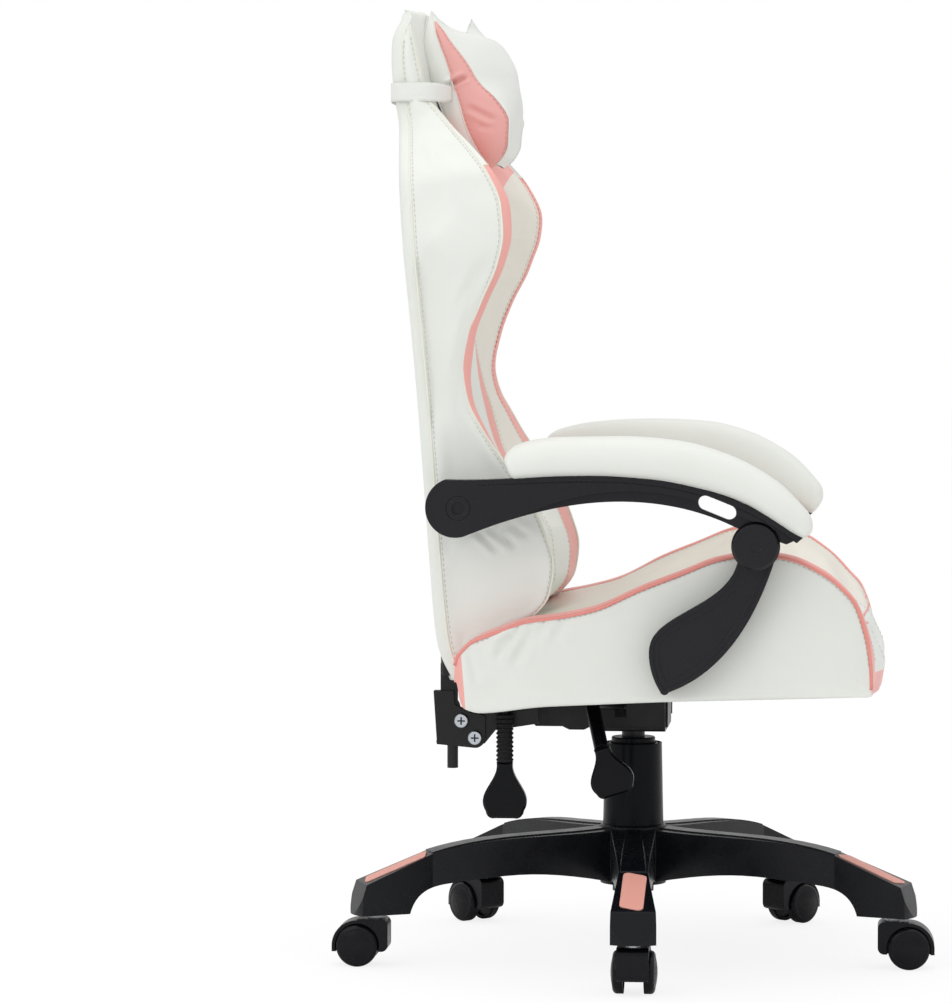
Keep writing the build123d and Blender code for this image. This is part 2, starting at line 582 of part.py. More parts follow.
def make_levers():
    elbow_x, elbow_u, elbow_z = LIFT_LEVER_ELBOW
    foot_x, foot_u, foot_z = LIFT_PADDLE
    inner = (LEVER_ROD_R, 0, LIFT_LEVER_Z)
    bend = (-LIFT_LEVER_BEND, 0, LIFT_LEVER_Z)
    elbow = (-elbow_x, -elbow_u, elbow_z)
    foot = (-foot_x, -foot_u, foot_z)
    rod = lever_trunnion(LEVER_ROD_R)
    for start, end in ((inner, bend), (bend, elbow), (elbow, foot)):
        rod = rod + rod_between(start, end, LEVER_ROD_R) + Pos(*start) * Sphere(LEVER_ROD_R)
    parts["height_lever_rod"] = rod
    run = Vector(*foot) - Vector(*elbow)
    sleeve = Plane(origin=elbow, z_dir=run) * Cylinder(HANDLE_R, run.length, align=UPWARD)
    hang = (foot_u, foot_z + 2)
    blade = paddle_solid(PADDLE_WIDTH + 4, PADDLE_LENGTH - 8, foot_x, hang, LIFT_PADDLE_TILT)
    handle = sleeve + blade
    handle = handle - Pos(*elbow) * Sphere(LEVER_ROD_R + RUN) - rod_between(bend, elbow, LEVER_ROD_R + RUN)
    parts["height_lever_paddle"] = handle - rod_between(elbow, foot, LEVER_ROD_R + RUN, 0.5)
    y = -RECLINE_LEVER_U
    z = RECLINE_LEVER_Z
    rod = rod_between((-RECLINE_LEVER_X, y, z), (CHEEK_OUTER + 3, y, z), LEVER_ROD_R)
    knee = Pos(-RECLINE_LEVER_X, y, z) * Sphere(LEVER_ROD_R)
    drop = post(LEVER_ROD_R, GRIP_ROD_LOW, z, (-RECLINE_LEVER_X, y))
    parts["recline_lever_rod"] = rod + knee + drop
    parts["recline_lever_sleeve"] = bellows((-RECLINE_LEVER_X, y))
    grip = paddle_solid(PADDLE_WIDTH + 4, PADDLE_LENGTH, RECLINE_LEVER_X, (RECLINE_LEVER_U, SLEEVE_BOTTOM), 0)
    bore = post(LEVER_ROD_R + RUN, GRIP_ROD_LOW - 0.5, z, (-RECLINE_LEVER_X, y))
    parts["recline_lever_paddle"] = grip - bore


def bellows(spot):
    """Rubber sleeve with rounded ribs round the lever rod."""
    pitch = (SLEEVE_TOP - SLEEVE_BOTTOM) / SLEEVE_RIBS
    outline = [Line((LEVER_ROD_R + RUN, SLEEVE_BOTTOM), (SLEEVE_R - SLEEVE_RIB, SLEEVE_BOTTOM))]
    for k in range(SLEEVE_RIBS):
        low = SLEEVE_BOTTOM + k * pitch
        outline.append(Line((SLEEVE_R - SLEEVE_RIB, low), (SLEEVE_R, low + pitch / 2)))
        outline.append(Line((SLEEVE_R, low + pitch / 2), (SLEEVE_R - SLEEVE_RIB, low + pitch)))
    outline.append(Line((SLEEVE_R - SLEEVE_RIB, SLEEVE_TOP), (LEVER_ROD_R + RUN, SLEEVE_TOP)))
    outline.append(Line((LEVER_ROD_R + RUN, SLEEVE_TOP), (LEVER_ROD_R + RUN, SLEEVE_BOTTOM)))
    return Pos(spot[0], spot[1], 0) * revolve(Plane.XZ * region(*outline), Axis.Z)


# ---------------------------------------------------------------- recliner
# Side outlines as (forward, height): cheek plate, the web under it, and the arm it is bolted to.
CHEEK = ((-223, 338), (-219, 275), (-174, 271), (-162, 284), (-162, 309), (-184, 314), (-198, 322),
         (-199, 338))
CHEEK_WEB = ((-220, 279), (-219, 275), (-180, 272.3), (-180, 276))
RECLINER_ARM_UPPER = ((-197, 296), (-183, 313.5), (-146.5, 316))
RECLINER_ARM_LOWER = ((-100, 300), (-150, 292), (-163, 276), (-179, 276))
RECLINER_FOOT = (-146.0, -100.0)
RECLINER_FOOT_WIDTH = 24.0
SPIGOT_U = -201.0
SPIGOT_LOW = 247.0
SPIGOT_HIGH = 277.0


def make_recliner():
    lobe = RECLINER_BOLTS[1]
    cheek = region(Polyline(*CHEEK, close=True)) + Pos(*lobe) * Circle(CHEEK_LOBE_R)
    arm_inner = CHEEK_INNER + CHEEK_THICK
    arm_outer = CHEEK_OUTER - CHEEK_THICK
    hinge = (RECLINE_U, RECLINE_Z)
    plates = side_slab(cheek, CHEEK_INNER, arm_inner) + side_slab(cheek, arm_outer, CHEEK_OUTER)
    web = side_slab(region(Polyline(*CHEEK_WEB, close=True)), CHEEK_INNER, CHEEK_OUTER)
    spigot = post(SPIGOT_R, SPIGOT_LOW, SPIGOT_HIGH, ((CHEEK_INNER + CHEEK_OUTER) / 2, -SPIGOT_U))
    bracket = plates + web + spigot + cross_pin(hinge, HINGE_PIN_R, CHEEK_INNER, CHEEK_OUTER)
    top = BOARD_BOTTOM - SHEET
    heel, toe = RECLINER_FOOT
    arm = region(Polyline(*RECLINER_ARM_UPPER, (heel, top), (toe, top), *RECLINER_ARM_LOWER, close=True))
    arm = side_slab(arm, arm_inner, arm_outer)
    arm = arm + box_between((arm_inner - RECLINER_FOOT_WIDTH, -toe, top), (arm_outer, -heel, BOARD_BOTTOM))
    for spot in RECLINER_BOLTS:
        bore = cross_pin(spot, RECLINER_BOLT_R + RUN, CHEEK_INNER - 1, CHEEK_OUTER + 1)
        bracket = bracket - bore
        arm = arm - bore
    lever = (RECLINE_LEVER_U, RECLINE_LEVER_Z)
    arm = arm - cross_pin(lever, LEVER_ROD_R + RUN, arm_inner - 30, arm_outer + 1)
    parts["recliner_brackets"] = join([bracket, mirrored(bracket)])
    parts["recliner_arms"] = join([arm, mirrored(arm)])
    bolts = []
    for spot in RECLINER_BOLTS:
        shank = cross_pin(spot, RECLINER_BOLT_R, CHEEK_INNER - NUT, CHEEK_OUTER)
        head = cross_pin(spot, CHEEK_BOLT_HEAD_R, CHEEK_OUTER, CHEEK_OUTER + CHEEK_BOLT_HEAD)
        head = chamfer(head.edges().group_by(Axis.X)[-1], 1.2)
        cross = cross_slots(spot, CHEEK_OUTER + CHEEK_BOLT_HEAD)
        nut = side_slab(Pos(*spot) * RegularPolygon(NUT_R, 6), CHEEK_INNER - NUT, CHEEK_INNER)
        bolt = shank + (head - cross) + nut
        bolts += [bolt, mirrored(bolt)]
    parts["recliner_fasteners"] = join(bolts)


def cross_slots(spot, face):
    """Cross recess of a bolt head."""
    bars = Rectangle(BOLT_CROSS, BOLT_SLOT) + Rectangle(BOLT_SLOT, BOLT_CROSS)
    return side_slab(Pos(*spot) * bars, face - BOLT_CROSS_DEEP, face + 1)


# ---------------------------------------------------------------- arms
ARM_TOP = ((-200, 590), (-136, 591), (-21, 596), (93, 582), (173, 549), (212, 526))
ARM_UNDER = ((-172, 527), (-136, 540), (-44, 562), (48, 562), (134, 536))
RAIL_UNDER = ((-172, 527), (-110, 551), (-44, 572), (60, 574), (130, 553), (182, 533))
ARM_REAR = (-222, 562)
EYE_TOP = (192, 517)
RAIL_TIP = (204, 519)
GROOVE_TOP = ((-160, 584), (-21, 589), (88, 576), (170, 543), (200, 523))
GROOVE_WIDTH = 1.6
GROOVE_DEPTH = 1.4
EYE_R = 24.0
ARM_BOSS_R = 20.0
LOBE_RECESS = (-184, 557)
LOBE_RECESS_R = 8.0
LOBE_RING_R = 14.0
ARM_SLOT = (113, 559)
ARM_SLOT_TILT = -22
PAD_TOP = ((-140, 616), (-114, 632), (-30, 641), (70, 635), (150, 608), (212, 564), (226, 541))
PAD_EDGE_R = 16.0
LINK_REAR = ((137, 500), (117, 465), (60, 428), (37, 405), (35, 378), (47, 346))
LINK_TOE = (51, 342)
LINK_FRONT = ((57, 345), (117, 385), (155, 440), (179, 500))
LINK_RIM = 4.5
LINK_RIM_PROUD = 3.0
LINK_POCKET_RIM = 11.0
LINK_POCKET_DEPTH = 2.5
FRONT_PIN_R = 5.0


def arm_outline():
    """Whole side outline: rear lobe, slim curved beam and the eye at the front."""
    top = Spline(*ARM_TOP)
    tip = Line(ARM_TOP[-1], EYE_TOP)
    eye = Line(EYE_TOP, ARM_UNDER[-1])
    under = Spline(*ARM_UNDER)
    rear = ThreePointArc(ARM_UNDER[0], ARM_REAR, ARM_TOP[0])
    return region(top, tip, eye, under, rear) + Pos(*FRONT_PIVOT) * Circle(EYE_R)


def rail_outline():
    """Raised part of the arm: the lobe and the band under the arm pad."""
    top = Spline(*ARM_TOP)
    tip = Line(ARM_TOP[-1], RAIL_TIP)
    step = Line(RAIL_TIP, RAIL_UNDER[-1])
    under = Spline(*RAIL_UNDER)
    rear = ThreePointArc(ARM_UNDER[0], ARM_REAR, ARM_TOP[0])
    return region(top, tip, step, under, rear)


def arm_groove():
    """Shallow groove along the band of the arm, following its upper edge."""
    upper = Spline(*GROOVE_TOP)
    lower = upper.moved(Pos(0, -GROOVE_WIDTH))
    line = region(upper, Line(upper @ 1, lower @ 1), lower, Line(lower @ 0, upper @ 0))
    return side_slab(line, RAIL_OUTER - GROOVE_DEPTH, RAIL_OUTER + 1)


def lobe_relief():
    """Round recess in the rear lobe of the arm with a ring groove about it."""
    recess = cross_pin(LOBE_RECESS, LOBE_RECESS_R, RAIL_OUTER - 4, RAIL_OUTER + 1)
    ring = Circle(LOBE_RING_R + GROOVE_WIDTH / 2) - Circle(LOBE_RING_R - GROOVE_WIDTH / 2)
    return recess + side_slab(Pos(*LOBE_RECESS) * ring, RAIL_OUTER - GROOVE_DEPTH, RAIL_OUTER + 1)


def make_arms():
    web_outer = WEB_INNER + WEB_THICK
    web = side_slab(arm_outline(), WEB_INNER, web_outer)
    rail = side_slab(rail_outline(), WEB_INNER, RAIL_OUTER)
    boss = cross_pin(ARM_PIVOT, ARM_BOSS_R, ARM_BOSS_INNER, WEB_INNER)
    slot = side_slab(Pos(*ARM_SLOT) * Rot(0, 0, ARM_SLOT_TILT) * SlotOverall(SLOT_LENGTH, SLOT_HEIGHT),
                     WEB_INNER - 1, RAIL_OUTER + 1)
    under_cap = cross_pin(FRONT_PIVOT, CAP_R + SIDE_GAP, web_outer, RAIL_OUTER + 1)
    arm = web + (rail - under_cap) + boss - slot - arm_groove() - lobe_relief()
    arm = arm - cross_pin(ARM_PIVOT, ARM_PIN_R + RUN, ARM_BOSS_INNER - 10, WEB_INNER + ARM_PIN_LENGTH + 1)
    arm = arm - cross_pin(FRONT_PIVOT, FRONT_PIN_R + RUN, WEB_INNER - 1, web_outer + 1)
    both_sides("arm_frame", arm)
    both_sides("arm_pad", arm_pad())
    both_sides("arm_link", arm_link())
    pin = cross_pin(FRONT_PIVOT, FRONT_PIN_R, LINK_INNER - 0.3, web_outer)
    pin = pin + cross_pin(FRONT_PIVOT, FRONT_PIN_R + 8, LINK_INNER - 3.3, LINK_INNER - 0.3)
    cap = cross_pin(FRONT_PIVOT, CAP_R, web_outer, web_outer + CAP_THICK)
    dimple = cross_pin(FRONT_PIVOT, CAP_DIMPLE_R, web_outer + CAP_THICK - 1.2, web_outer + CAP_THICK + 1)
    cap = chamfer(cap.edges().group_by(Axis.X)[-1], 3) - dimple
    parts["front_pivot_left"] = join([pin, cap])
    parts["front_pivot_right"] = join([mirrored(pin), mirrored(cap)])


def arm_pad():
    """Padded top of the arm, lying on the band of the arm frame."""
    under = Spline(*ARM_TOP[1:]).moved(Pos(0, SOFT_GAP))
    over = Spline(*PAD_TOP)
    rear = Line(under @ 0, over @ 0)
    front = Line(over @ 1, under @ 1)
    pad = side_slab(region(under, over, rear, front), ARM_PAD_INNER, ARM_PAD_OUTER)
    return fillet(pad.edges().filter_by(lambda e: e.length > 300).group_by(Axis.Z)[-1], PAD_EDGE_R)


def arm_link():
    """Leaf-shaped link from the seat side up to the front pivot, with a raised rim."""
    outer = LINK_INNER + LINK_THICK
    rear = Spline(*LINK_REAR)
    toe = ThreePointArc(LINK_REAR[-1], LINK_TOE, LINK_FRONT[0])
    front = Spline(*LINK_FRONT)
    leaf = region(rear, toe, front, Line(LINK_FRONT[-1], LINK_REAR[0]))
    hidden = Pos(*FRONT_PIVOT) * Circle(EYE_R)
    link = side_slab(leaf + hidden, LINK_INNER, outer)
    link = link - side_slab(shrunk(leaf, LINK_RIM), outer - LINK_RIM_PROUD, outer + 1)
    pocket = shrunk(leaf, LINK_POCKET_RIM) - Pos(*FRONT_PIVOT) * Circle(2.4 * EYE_R)
    link = link - side_slab(pocket, outer - LINK_RIM_PROUD - LINK_POCKET_DEPTH, outer + 1)
    link = link - cross_pin(FRONT_PIVOT, FRONT_PIN_R + SWEEP_GAP, LINK_INNER - 1, outer + 1)
    return link - cross_pin(LINK_PIVOT, ARM_PIN_R + RUN, LINK_INNER - 1, LINK_PIN_END + 1)


# ---------------------------------------------------------------- seat
BRACKET_INSET = 9.0
BRACKET_THICK = 4.0
BRACKET_HALF = 22.0
BRACKET_FOOT = 35.0
COLLAR_R = 15.0

# Side outlines of the seat as (forward, height), anticlockwise from the rear of the bolsters.
SEAT_CREST = ((-176, 397), (-140, 408), (-70, 427), (22, 461), (115, 494), (150, 499), (210, 486), (262, 445),
              (292, 424))
SEAT_FRONT = ((292, 424), (304, 400), (300, 368), (288, 339))
SEAT_UNDER = ((288, 339), (60, 331), (-94, 324), (-166, 317))
SEAT_HEEL = ((-180, 320), (-188, 345), (-184, 384), (-176, 397))
SEAT_FLOOR = ((-215, 392), (-60, 404), (100, 436), (200, 456), (262, 450), (330, 402))
SEAT_WELL_TOP = 620.0
SEAT_WELL_RISE = 45.0
SEAT_WELL_FLOOR = 130.0     # half widths of the seat's sunk middle
SEAT_WELL_MOUTH = SEAT_HALF - 50.0


def link_bracket(grow):
    """Steel angle under the board that carries the pivot of an arm link."""
    u, z = LINK_PIVOT
    low = BOARD_BOTTOM - SHEET - 2 * grow
    outer = SEAT_HALF - BRACKET_INSET
    plate = box_between((outer - BRACKET_THICK - grow, -u - BRACKET_HALF - grow, low),
                        (outer + grow, -u + BRACKET_HALF + grow, z + BRACKET_HALF - 4 + grow))
    foot = box_between((BOARD_HALF - BRACKET_FOOT, -u - BRACKET_HALF, low),
                       (outer, -u + BRACKET_HALF, BOARD_BOTTOM))
    pin = cross_pin(LINK_PIVOT, ARM_PIN_R + grow, outer - 1, LINK_PIN_END)
    collar = cross_pin(LINK_PIVOT, COLLAR_R, SEAT_HALF + 0.3, LINK_INNER - 0.3)
    return plate + foot + pin + collar


def seat_well(lift):
    """What is open above the sunk middle of the seat, raised by lift."""
    floor = Spline(*[(u, z + lift) for u, z in SEAT_FLOOR])
    rear, front = SEAT_FLOOR[0][0], SEAT_FLOOR[-1][0]
    return region(floor, Polyline(floor @ 1, (front, SEAT_WELL_TOP), (rear, SEAT_WELL_TOP), floor @ 0))


def seat_cushion():
    """Moulded seat with raised side bolsters, hollow underneath for the board."""
    heel = Line(SEAT_UNDER[-1], SEAT_HEEL[0])
    outline = region(Spline(*SEAT_CREST), Spline(*SEAT_FRONT), Spline(*SEAT_UNDER), heel, Spline(*SEAT_HEEL))
    seat = side_slab(outline, -SEAT_HALF, SEAT_HALF)
    trough = channel(seat_well(0), seat_well(SEAT_WELL_RISE), SEAT_WELL_FLOOR, SEAT_WELL_MOUTH)
    pocket = box_between((-BOARD_HALF - 1, -BOARD_FRONT - 1, 300),
                         (BOARD_HALF + 1, -BOARD_REAR + 1, BOARD_BOTTOM + BOARD_THICK + SOFT_GAP))
    seat = seat - trough - pocket
    for bracket in (link_bracket(SOFT_GAP), mirrored(link_bracket(SOFT_GAP))):
        seat = seat - bracket
    return seat


def make_seat():
    parts["seat_cushion"] = seat_cushion()
    bracket = link_bracket(0)
    parts["link_brackets"] = join([bracket, mirrored(bracket)])


# ---------------------------------------------------------------- back
def back_frame(grow):
    """Welded tube frame with its hinge plates and the stub pins that carry the arms."""
    tube_r = BACK_TUBE_R + grow
    y = -BACK_TUBE_U
    half = post(tube_r, RECLINE_Z + 38 - grow, BACK_TUBE_TOP, (BACK_TUBE_X, y))
    lean = Vector(HEAD_TUBE_X - BACK_TUBE_X, BACK_TUBE_U - HEAD_TUBE_U, HEAD_TUBE_TOP - BACK_TUBE_TOP)
    half = half + Plane(origin=(BACK_TUBE_X, y, BACK_TUBE_TOP), z_dir=lean) * Cylinder(
        tube_r, lean.length, align=UPWARD)
    half = half + Pos(BACK_TUBE_X, y, BACK_TUBE_TOP) * Sphere(tube_r)
    half = half + Pos(HEAD_TUBE_X, -HEAD_TUBE_U, HEAD_TUBE_TOP) * Sphere(tube_r)
    u, z = ARM_PIVOT
    gusset = box_between((BACK_TUBE_X - 4 - grow, -u - 15 - grow, z - 22 - grow),
                         (BACK_TUBE_X + 4 + grow, -u + 30 + grow, z + 22 + grow))
    half = half + gusset + cross_pin(ARM_PIVOT, ARM_PIN_R + grow, BACK_TUBE_X, WEB_INNER + ARM_PIN_LENGTH)
    neck = Rectangle(NECK_WIDTH + 2 * grow, NECK_LENGTH)
    neck = Pos(RECLINE_U, RECLINE_Z + NECK_LENGTH / 2) * neck
    neck = neck + Pos(RECLINE_U, RECLINE_Z) * Circle(NECK_R)
    half = half + side_slab(neck, CHEEK_INNER + 3 + SIDE_GAP - grow, CHEEK_OUTER - 3 - SIDE_GAP + grow)
    whole = half + mirrored(half)
    for back_by, height in ((0, CROSS_TUBE_LOW), (CROSS_TUBE_SET_BACK, BACK_TUBE_TOP)):
        whole = whole + Pos(0, y + back_by, height) * Rot(0, 90, 0) * Cylinder(tube_r - 3, 2 * BACK_TUBE_X)
    whole = whole + Pos(0, -HEAD_TUBE_U, HEAD_TUBE_TOP) * Rot(0, 90, 0) * Cylinder(tube_r, 2 * HEAD_TUBE_X)
    if grow:
        return whole
    hinge = cross_pin((RECLINE_U, RECLINE_Z), HINGE_PIN_R + RUN, CHEEK_INNER, CHEEK_OUTER)
    return whole - hinge - mirrored(hinge)


# Side outlines of the back as (forward, height), and its front outline as (half width, height).
BACK_REAR = ((-203, 352), (-219, 401), (-232, 560), (-250, 796), (-262, 940), (-273, 1030), (-277, 1124))
BACK_CREST = ((-240, 1133), (-226, 1040), (-205, 1005), (-155, 941), (-137, 880), (-160, 796), (-182, 715),
              (-165, 646), (-117, 580), (-84, 520), (-82, 470), (-105, 432), (-150, 418), (-192, 396))
BACK_SIDE = ((BACK_HALF - 62, 340), (BACK_HALF - 36, 440), (BACK_HALF - 24, 540), (BACK_HALF - 28, 660),
             (BACK_HALF - 14, 780), (BACK_HALF, 870), (BACK_HALF - 12, 940), (BACK_HALF_HEAD + 40, 990),
             (BACK_HALF_HEAD + 2, 1022))
BACK_TOP = 1140.0
BACK_FLOOR = ((-232, 1200), (-232, 1040), (-208, 930), (-203, 850), (-203, 750), (-190, 675), (-173, 620),
              (-138, 560), (-112, 490), (-140, 370))
BACK_WELL_FRONT = 150.0
BACK_WELL_RISE = 50.0
BACK_WELL_FLOOR = 115.0     # half widths of the back's sunk middle
BACK_WELL_MOUTH = BACK_HALF - 72.0


def back_well(lift):
    """What is open in front of the sunk middle of the back, brought forward by lift."""
    floor = Spline(*[(u + lift, z) for u, z in BACK_FLOOR])
    high, low = BACK_FLOOR[0][1], BACK_FLOOR[-1][1]
    return region(floor, Polyline(floor @ 1, (BACK_WELL_FRONT, low), (BACK_WELL_FRONT, high), floor @ 0))


def back_cushion():
    """Tall winged back: side outline crossed with the front outline, the middle sunk between bolsters."""
    top = Line(BACK_REAR[-1], BACK_CREST[0])
    foot = Line(BACK_CREST[-1], BACK_REAR[0])
    outline = region(Spline(*BACK_REAR), top, Spline(*BACK_CREST), foot)
    slab = side_slab(outline, -BACK_HALF - 20, BACK_HALF + 20)
    ear = Line(BACK_SIDE[-1], (BACK_HALF_HEAD - 7, BACK_TOP))
    crown = Line(ear @ 1, (0, BACK_TOP))
    sill = Line((0, BACK_SIDE[0][1]), BACK_SIDE[0])
    half = region(Spline(*BACK_SIDE), ear, crown, sill, Line(crown @ 1, sill @ 0))
    front = half + half.mirror(Plane.YZ)
    back = slab & extrude(Plane.XZ * front, amount=-400)
    trough = channel(back_well(0), back_well(BACK_WELL_RISE), BACK_WELL_FLOOR, BACK_WELL_MOUTH)
    back = back - trough - back_frame(SOFT_GAP) - rear_cap(SOFT_GAP)
    return back.solids().sort_by(SortBy.VOLUME)[-1]


def rear_cap(grow):
    """Small moulded cap on the rear of the back, over the lower cross tube's screws."""
    return Pos(0, -REAR_CAP[0], REAR_CAP[1]) * Rot(90, 0, 0) * Cylinder(REAR_CAP_R + grow, REAR_CAP_LENGTH)


PILLOW_FACE = ((-224, 1142), (-196, 1132), (-158, 1090), (-146, 1030), (-150, 985), (-164, 962))
PILLOW_REAR = ((-184, 962), (-215, 1000), (-224, 1060), (-226, 1110))
PILLOW_CROWN = ((0, 1104), (60, 1106), (100, 1118), (128, 1146))
PILLOW_SIDE = ((138, 1060), (136, 1000), (110, 968), (0, 960))
PILLOW_HALF = 140.0


def headrest_pillow():
    """Pillow lying on the head of the back, its upper corners drawn up into two points."""
    face, rear = Spline(*PILLOW_FACE), Spline(*PILLOW_REAR)
    side = region(face, Line(face @ 1, rear @ 0), rear, Line(rear @ 1, face @ 0))
    slab = side_slab(side, -PILLOW_HALF, PILLOW_HALF)
    crown, flank = Spline(*PILLOW_CROWN), Spline(*PILLOW_SIDE)
    outline = region(crown, Line(crown @ 1, flank @ 0), flank, Line(flank @ 1, crown @ 0))
    front = outline + outline.mirror(Plane.YZ)
    return slab & extrude(Plane.XZ * front, amount=-400)


def pillow_strap():
    """Elastic band from the pillow's sides round the rear of the head."""
    inner_x = BACK_HALF_HEAD + STRAP_FIT
    outer_x = inner_x + STRAP_THICK
    rear = STRAP_REAR + STRAP_THICK
    sleeve_x = PILLOW_HALF + SOFT_GAP
    loop = box_between((-outer_x, STRAP_TURN, STRAP_LOW), (outer_x, rear, STRAP_HIGH))
    loop = loop - box_between((-inner_x, 0, STRAP_LOW - 1), (inner_x, STRAP_REAR, STRAP_HIGH + 1))
    ends = box_between((-outer_x, STRAP_TURN - 4, STRAP_LOW), (outer_x, STRAP_TURN, STRAP_HIGH))
    ends = ends - box_between((-sleeve_x, 0, STRAP_LOW - 1), (sleeve_x, STRAP_TURN + 1, STRAP_HIGH + 1))
    return loop + ends


def make_back():
    cushion = back_cushion()
    pillow = headrest_pillow() - cushion
    parts["back_frame"] = back_frame(0)
    parts["back_cushion"] = cushion
    parts["headrest_pillow"] = pillow
    parts["pillow_strap"] = pillow_strap()
    parts["rear_cap"] = rear_cap(0)


make_base()
make_casters()
make_lift()
make_mechanism()
make_levers()
make_recliner()
make_arms()
make_seat()
make_back()

os.makedirs("parts", exist_ok=True)
for name, shape in parts.items():
    export_step(shape, "parts/%s.step" % name)
print(len(parts), "nodes")
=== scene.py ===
"""Looks for the gaming chair: upholstery, seams, moulded plastics, plated steel, studio and camera.

Lengths in the tables are millimetres. path() takes points as (forward, height) or (across, forward, height);
profile() takes pairs of a height, or for the seat a distance forward, and what holds there. place() turns
points into the frame's metres. The sitter faces -Y.
"""
import math
from bisect import bisect_right

import bmesh
import bpy
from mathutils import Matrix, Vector, noise


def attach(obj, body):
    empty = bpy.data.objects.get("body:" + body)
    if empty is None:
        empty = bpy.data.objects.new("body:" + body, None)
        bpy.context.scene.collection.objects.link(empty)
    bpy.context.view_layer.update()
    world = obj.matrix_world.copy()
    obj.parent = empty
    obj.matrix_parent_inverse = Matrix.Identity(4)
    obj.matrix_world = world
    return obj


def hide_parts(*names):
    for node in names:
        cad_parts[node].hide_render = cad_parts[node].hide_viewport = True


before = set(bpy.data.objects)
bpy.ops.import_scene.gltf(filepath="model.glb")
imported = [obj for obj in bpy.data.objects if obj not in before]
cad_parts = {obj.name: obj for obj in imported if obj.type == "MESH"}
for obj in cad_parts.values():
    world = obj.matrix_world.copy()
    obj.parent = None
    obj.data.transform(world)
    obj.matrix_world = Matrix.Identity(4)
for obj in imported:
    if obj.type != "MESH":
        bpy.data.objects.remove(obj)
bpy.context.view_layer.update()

SIM_FRAMES = 20
PIPING_SIDES = 8
STITCH_PITCH = 0.0062
STITCH_LENGTH = 0.0042
STITCH_RADIUS = 0.0006
STITCH_SET_BACK = 0.0036
STITCH_SIDES = 6
# share of the length from the middle, share of the radius
STITCH_SHAPE = ((-0.5, 0.35), (-0.3, 1.0), (0.3, 1.0), (0.5, 0.35))
scene = bpy.context.scene


# ---------------------------------------------------------------- small geometry helpers
def place(across, forward, height):
    """A point from millimetres across, forward and up."""
    return Vector((across / 1000, -forward / 1000, height / 1000))


def profile(*pairs):
    """Smooth function through (key, value) pairs with no overshoot, flat beyond the ends."""
    keys = [p[0] for p in pairs]
    vals = [p[1] for p in pairs]
    steps = [(vals[i + 1] - vals[i]) / (keys[i + 1] - keys[i]) for i in range(len(keys) - 1)]
    slopes = [steps[0]]
    for a, b in zip(steps, steps[1:]):
        slopes.append(0.0 if a * b <= 0 else 2 * a * b / (a + b))
    slopes.append(steps[-1])

    def value(key):
        if key <= keys[0]:
            return vals[0]
        if key >= keys[-1]:
            return vals[-1]
        i = bisect_right(keys, key) - 1
        h = keys[i + 1] - keys[i]
        t = (key - keys[i]) / h
        return (vals[i] * (1 + 2 * t) * (1 - t) ** 2 + slopes[i] * h * t * (1 - t) ** 2
                + vals[i + 1] * t * t * (3 - 2 * t) + slopes[i + 1] * h * t * t * (t - 1))
    return value


def path(*pts):
    """Smooth run through 2-D or 3-D points, taken by its fraction of length."""
    lengths = [0.0]
    for a, b in zip(pts, pts[1:]):
        lengths.append(lengths[-1] + math.dist(a, b))
    total = lengths[-1]
    parts = [profile(*[(s / total, p[k]) for s, p in zip(lengths, pts)]) for k in range(len(pts[0]))]
    return lambda t: tuple(part(t) for part in parts)


def mix(a, b, t):
    return tuple(p + (q - p) * t for p, q in zip(a, b))


def smooth(t):
    t = min(1.0, max(0.0, t))
    return t * t * (3 - 2 * t)


def new_object(name, verts, faces):
    """A smooth-shaded mesh object in the scene."""
    mesh = bpy.data.meshes.new(name)
    mesh.from_pydata(verts, [], faces)
    mesh.validate()
    obj = bpy.data.objects.new(name, mesh)
    scene.collection.objects.link(obj)
    mesh.polygons.foreach_set("use_smooth", [True] * len(mesh.polygons))
    return obj


def outward(obj):
    """Faces all turned to the outside."""
    bm = bmesh.new()
    bm.from_mesh(obj.data)
    bmesh.ops.recalc_face_normals(bm, faces=bm.faces)
    bm.to_mesh(obj.data)
    bm.free()


def welded(obj):
    """Points that lie on each other made one."""
    bm = bmesh.new()
    bm.from_mesh(obj.data)
    bmesh.ops.remove_doubles(bm, verts=bm.verts, dist=0.00005)
    bm.to_mesh(obj.data)
    bm.free()


def wear(obj, *materials):
    """Give an object these materials and no others."""
    obj.data.materials.clear()
    for material in materials:
        obj.data.materials.append(material)


def finish_piece(obj, body, slot, *nodes):
    """Let a piece ride on its body, in place of the solids it stands for; the slot it is given is not used.
    """
    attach(obj, body)
    if nodes:
        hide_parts(*nodes)


def tube_faces(steps, around, base=0):
    """Faces of a tube of vertex rings, with a cap on each end."""
    faces = []
    for i in range(steps):
        here = base + i * around
        for k in range(around):
            after = (k + 1) % around
            faces.append((here + k, here + after, here + around + after, here + around + k))
    faces.append(tuple(base + k for k in range(around))[::-1])
    faces.append(tuple(base + steps * around + k for k in range(around)))
    return faces


def sweep(line, radius, material):
    """Round piping along a line of points."""
    verts = []
    last = len(line) - 1
    normal = None
    for i, point in enumerate(line):
        run = (line[min(i + 1, last)] - line[max(i - 1, 0)]).normalized()
        if normal is None:
            normal = run.orthogonal().normalized()
        normal = (normal - run * normal.dot(run)).normalized()
        side = run.cross(normal)
        for k in range(PIPING_SIDES):
            a = 2 * math.pi * k / PIPING_SIDES
            verts.append(point + (normal * math.cos(a) + side * math.sin(a)) * radius)
    obj = new_object("seam", verts, tube_faces(last, PIPING_SIDES))
    outward(obj)
    wear(obj, material)
    return obj


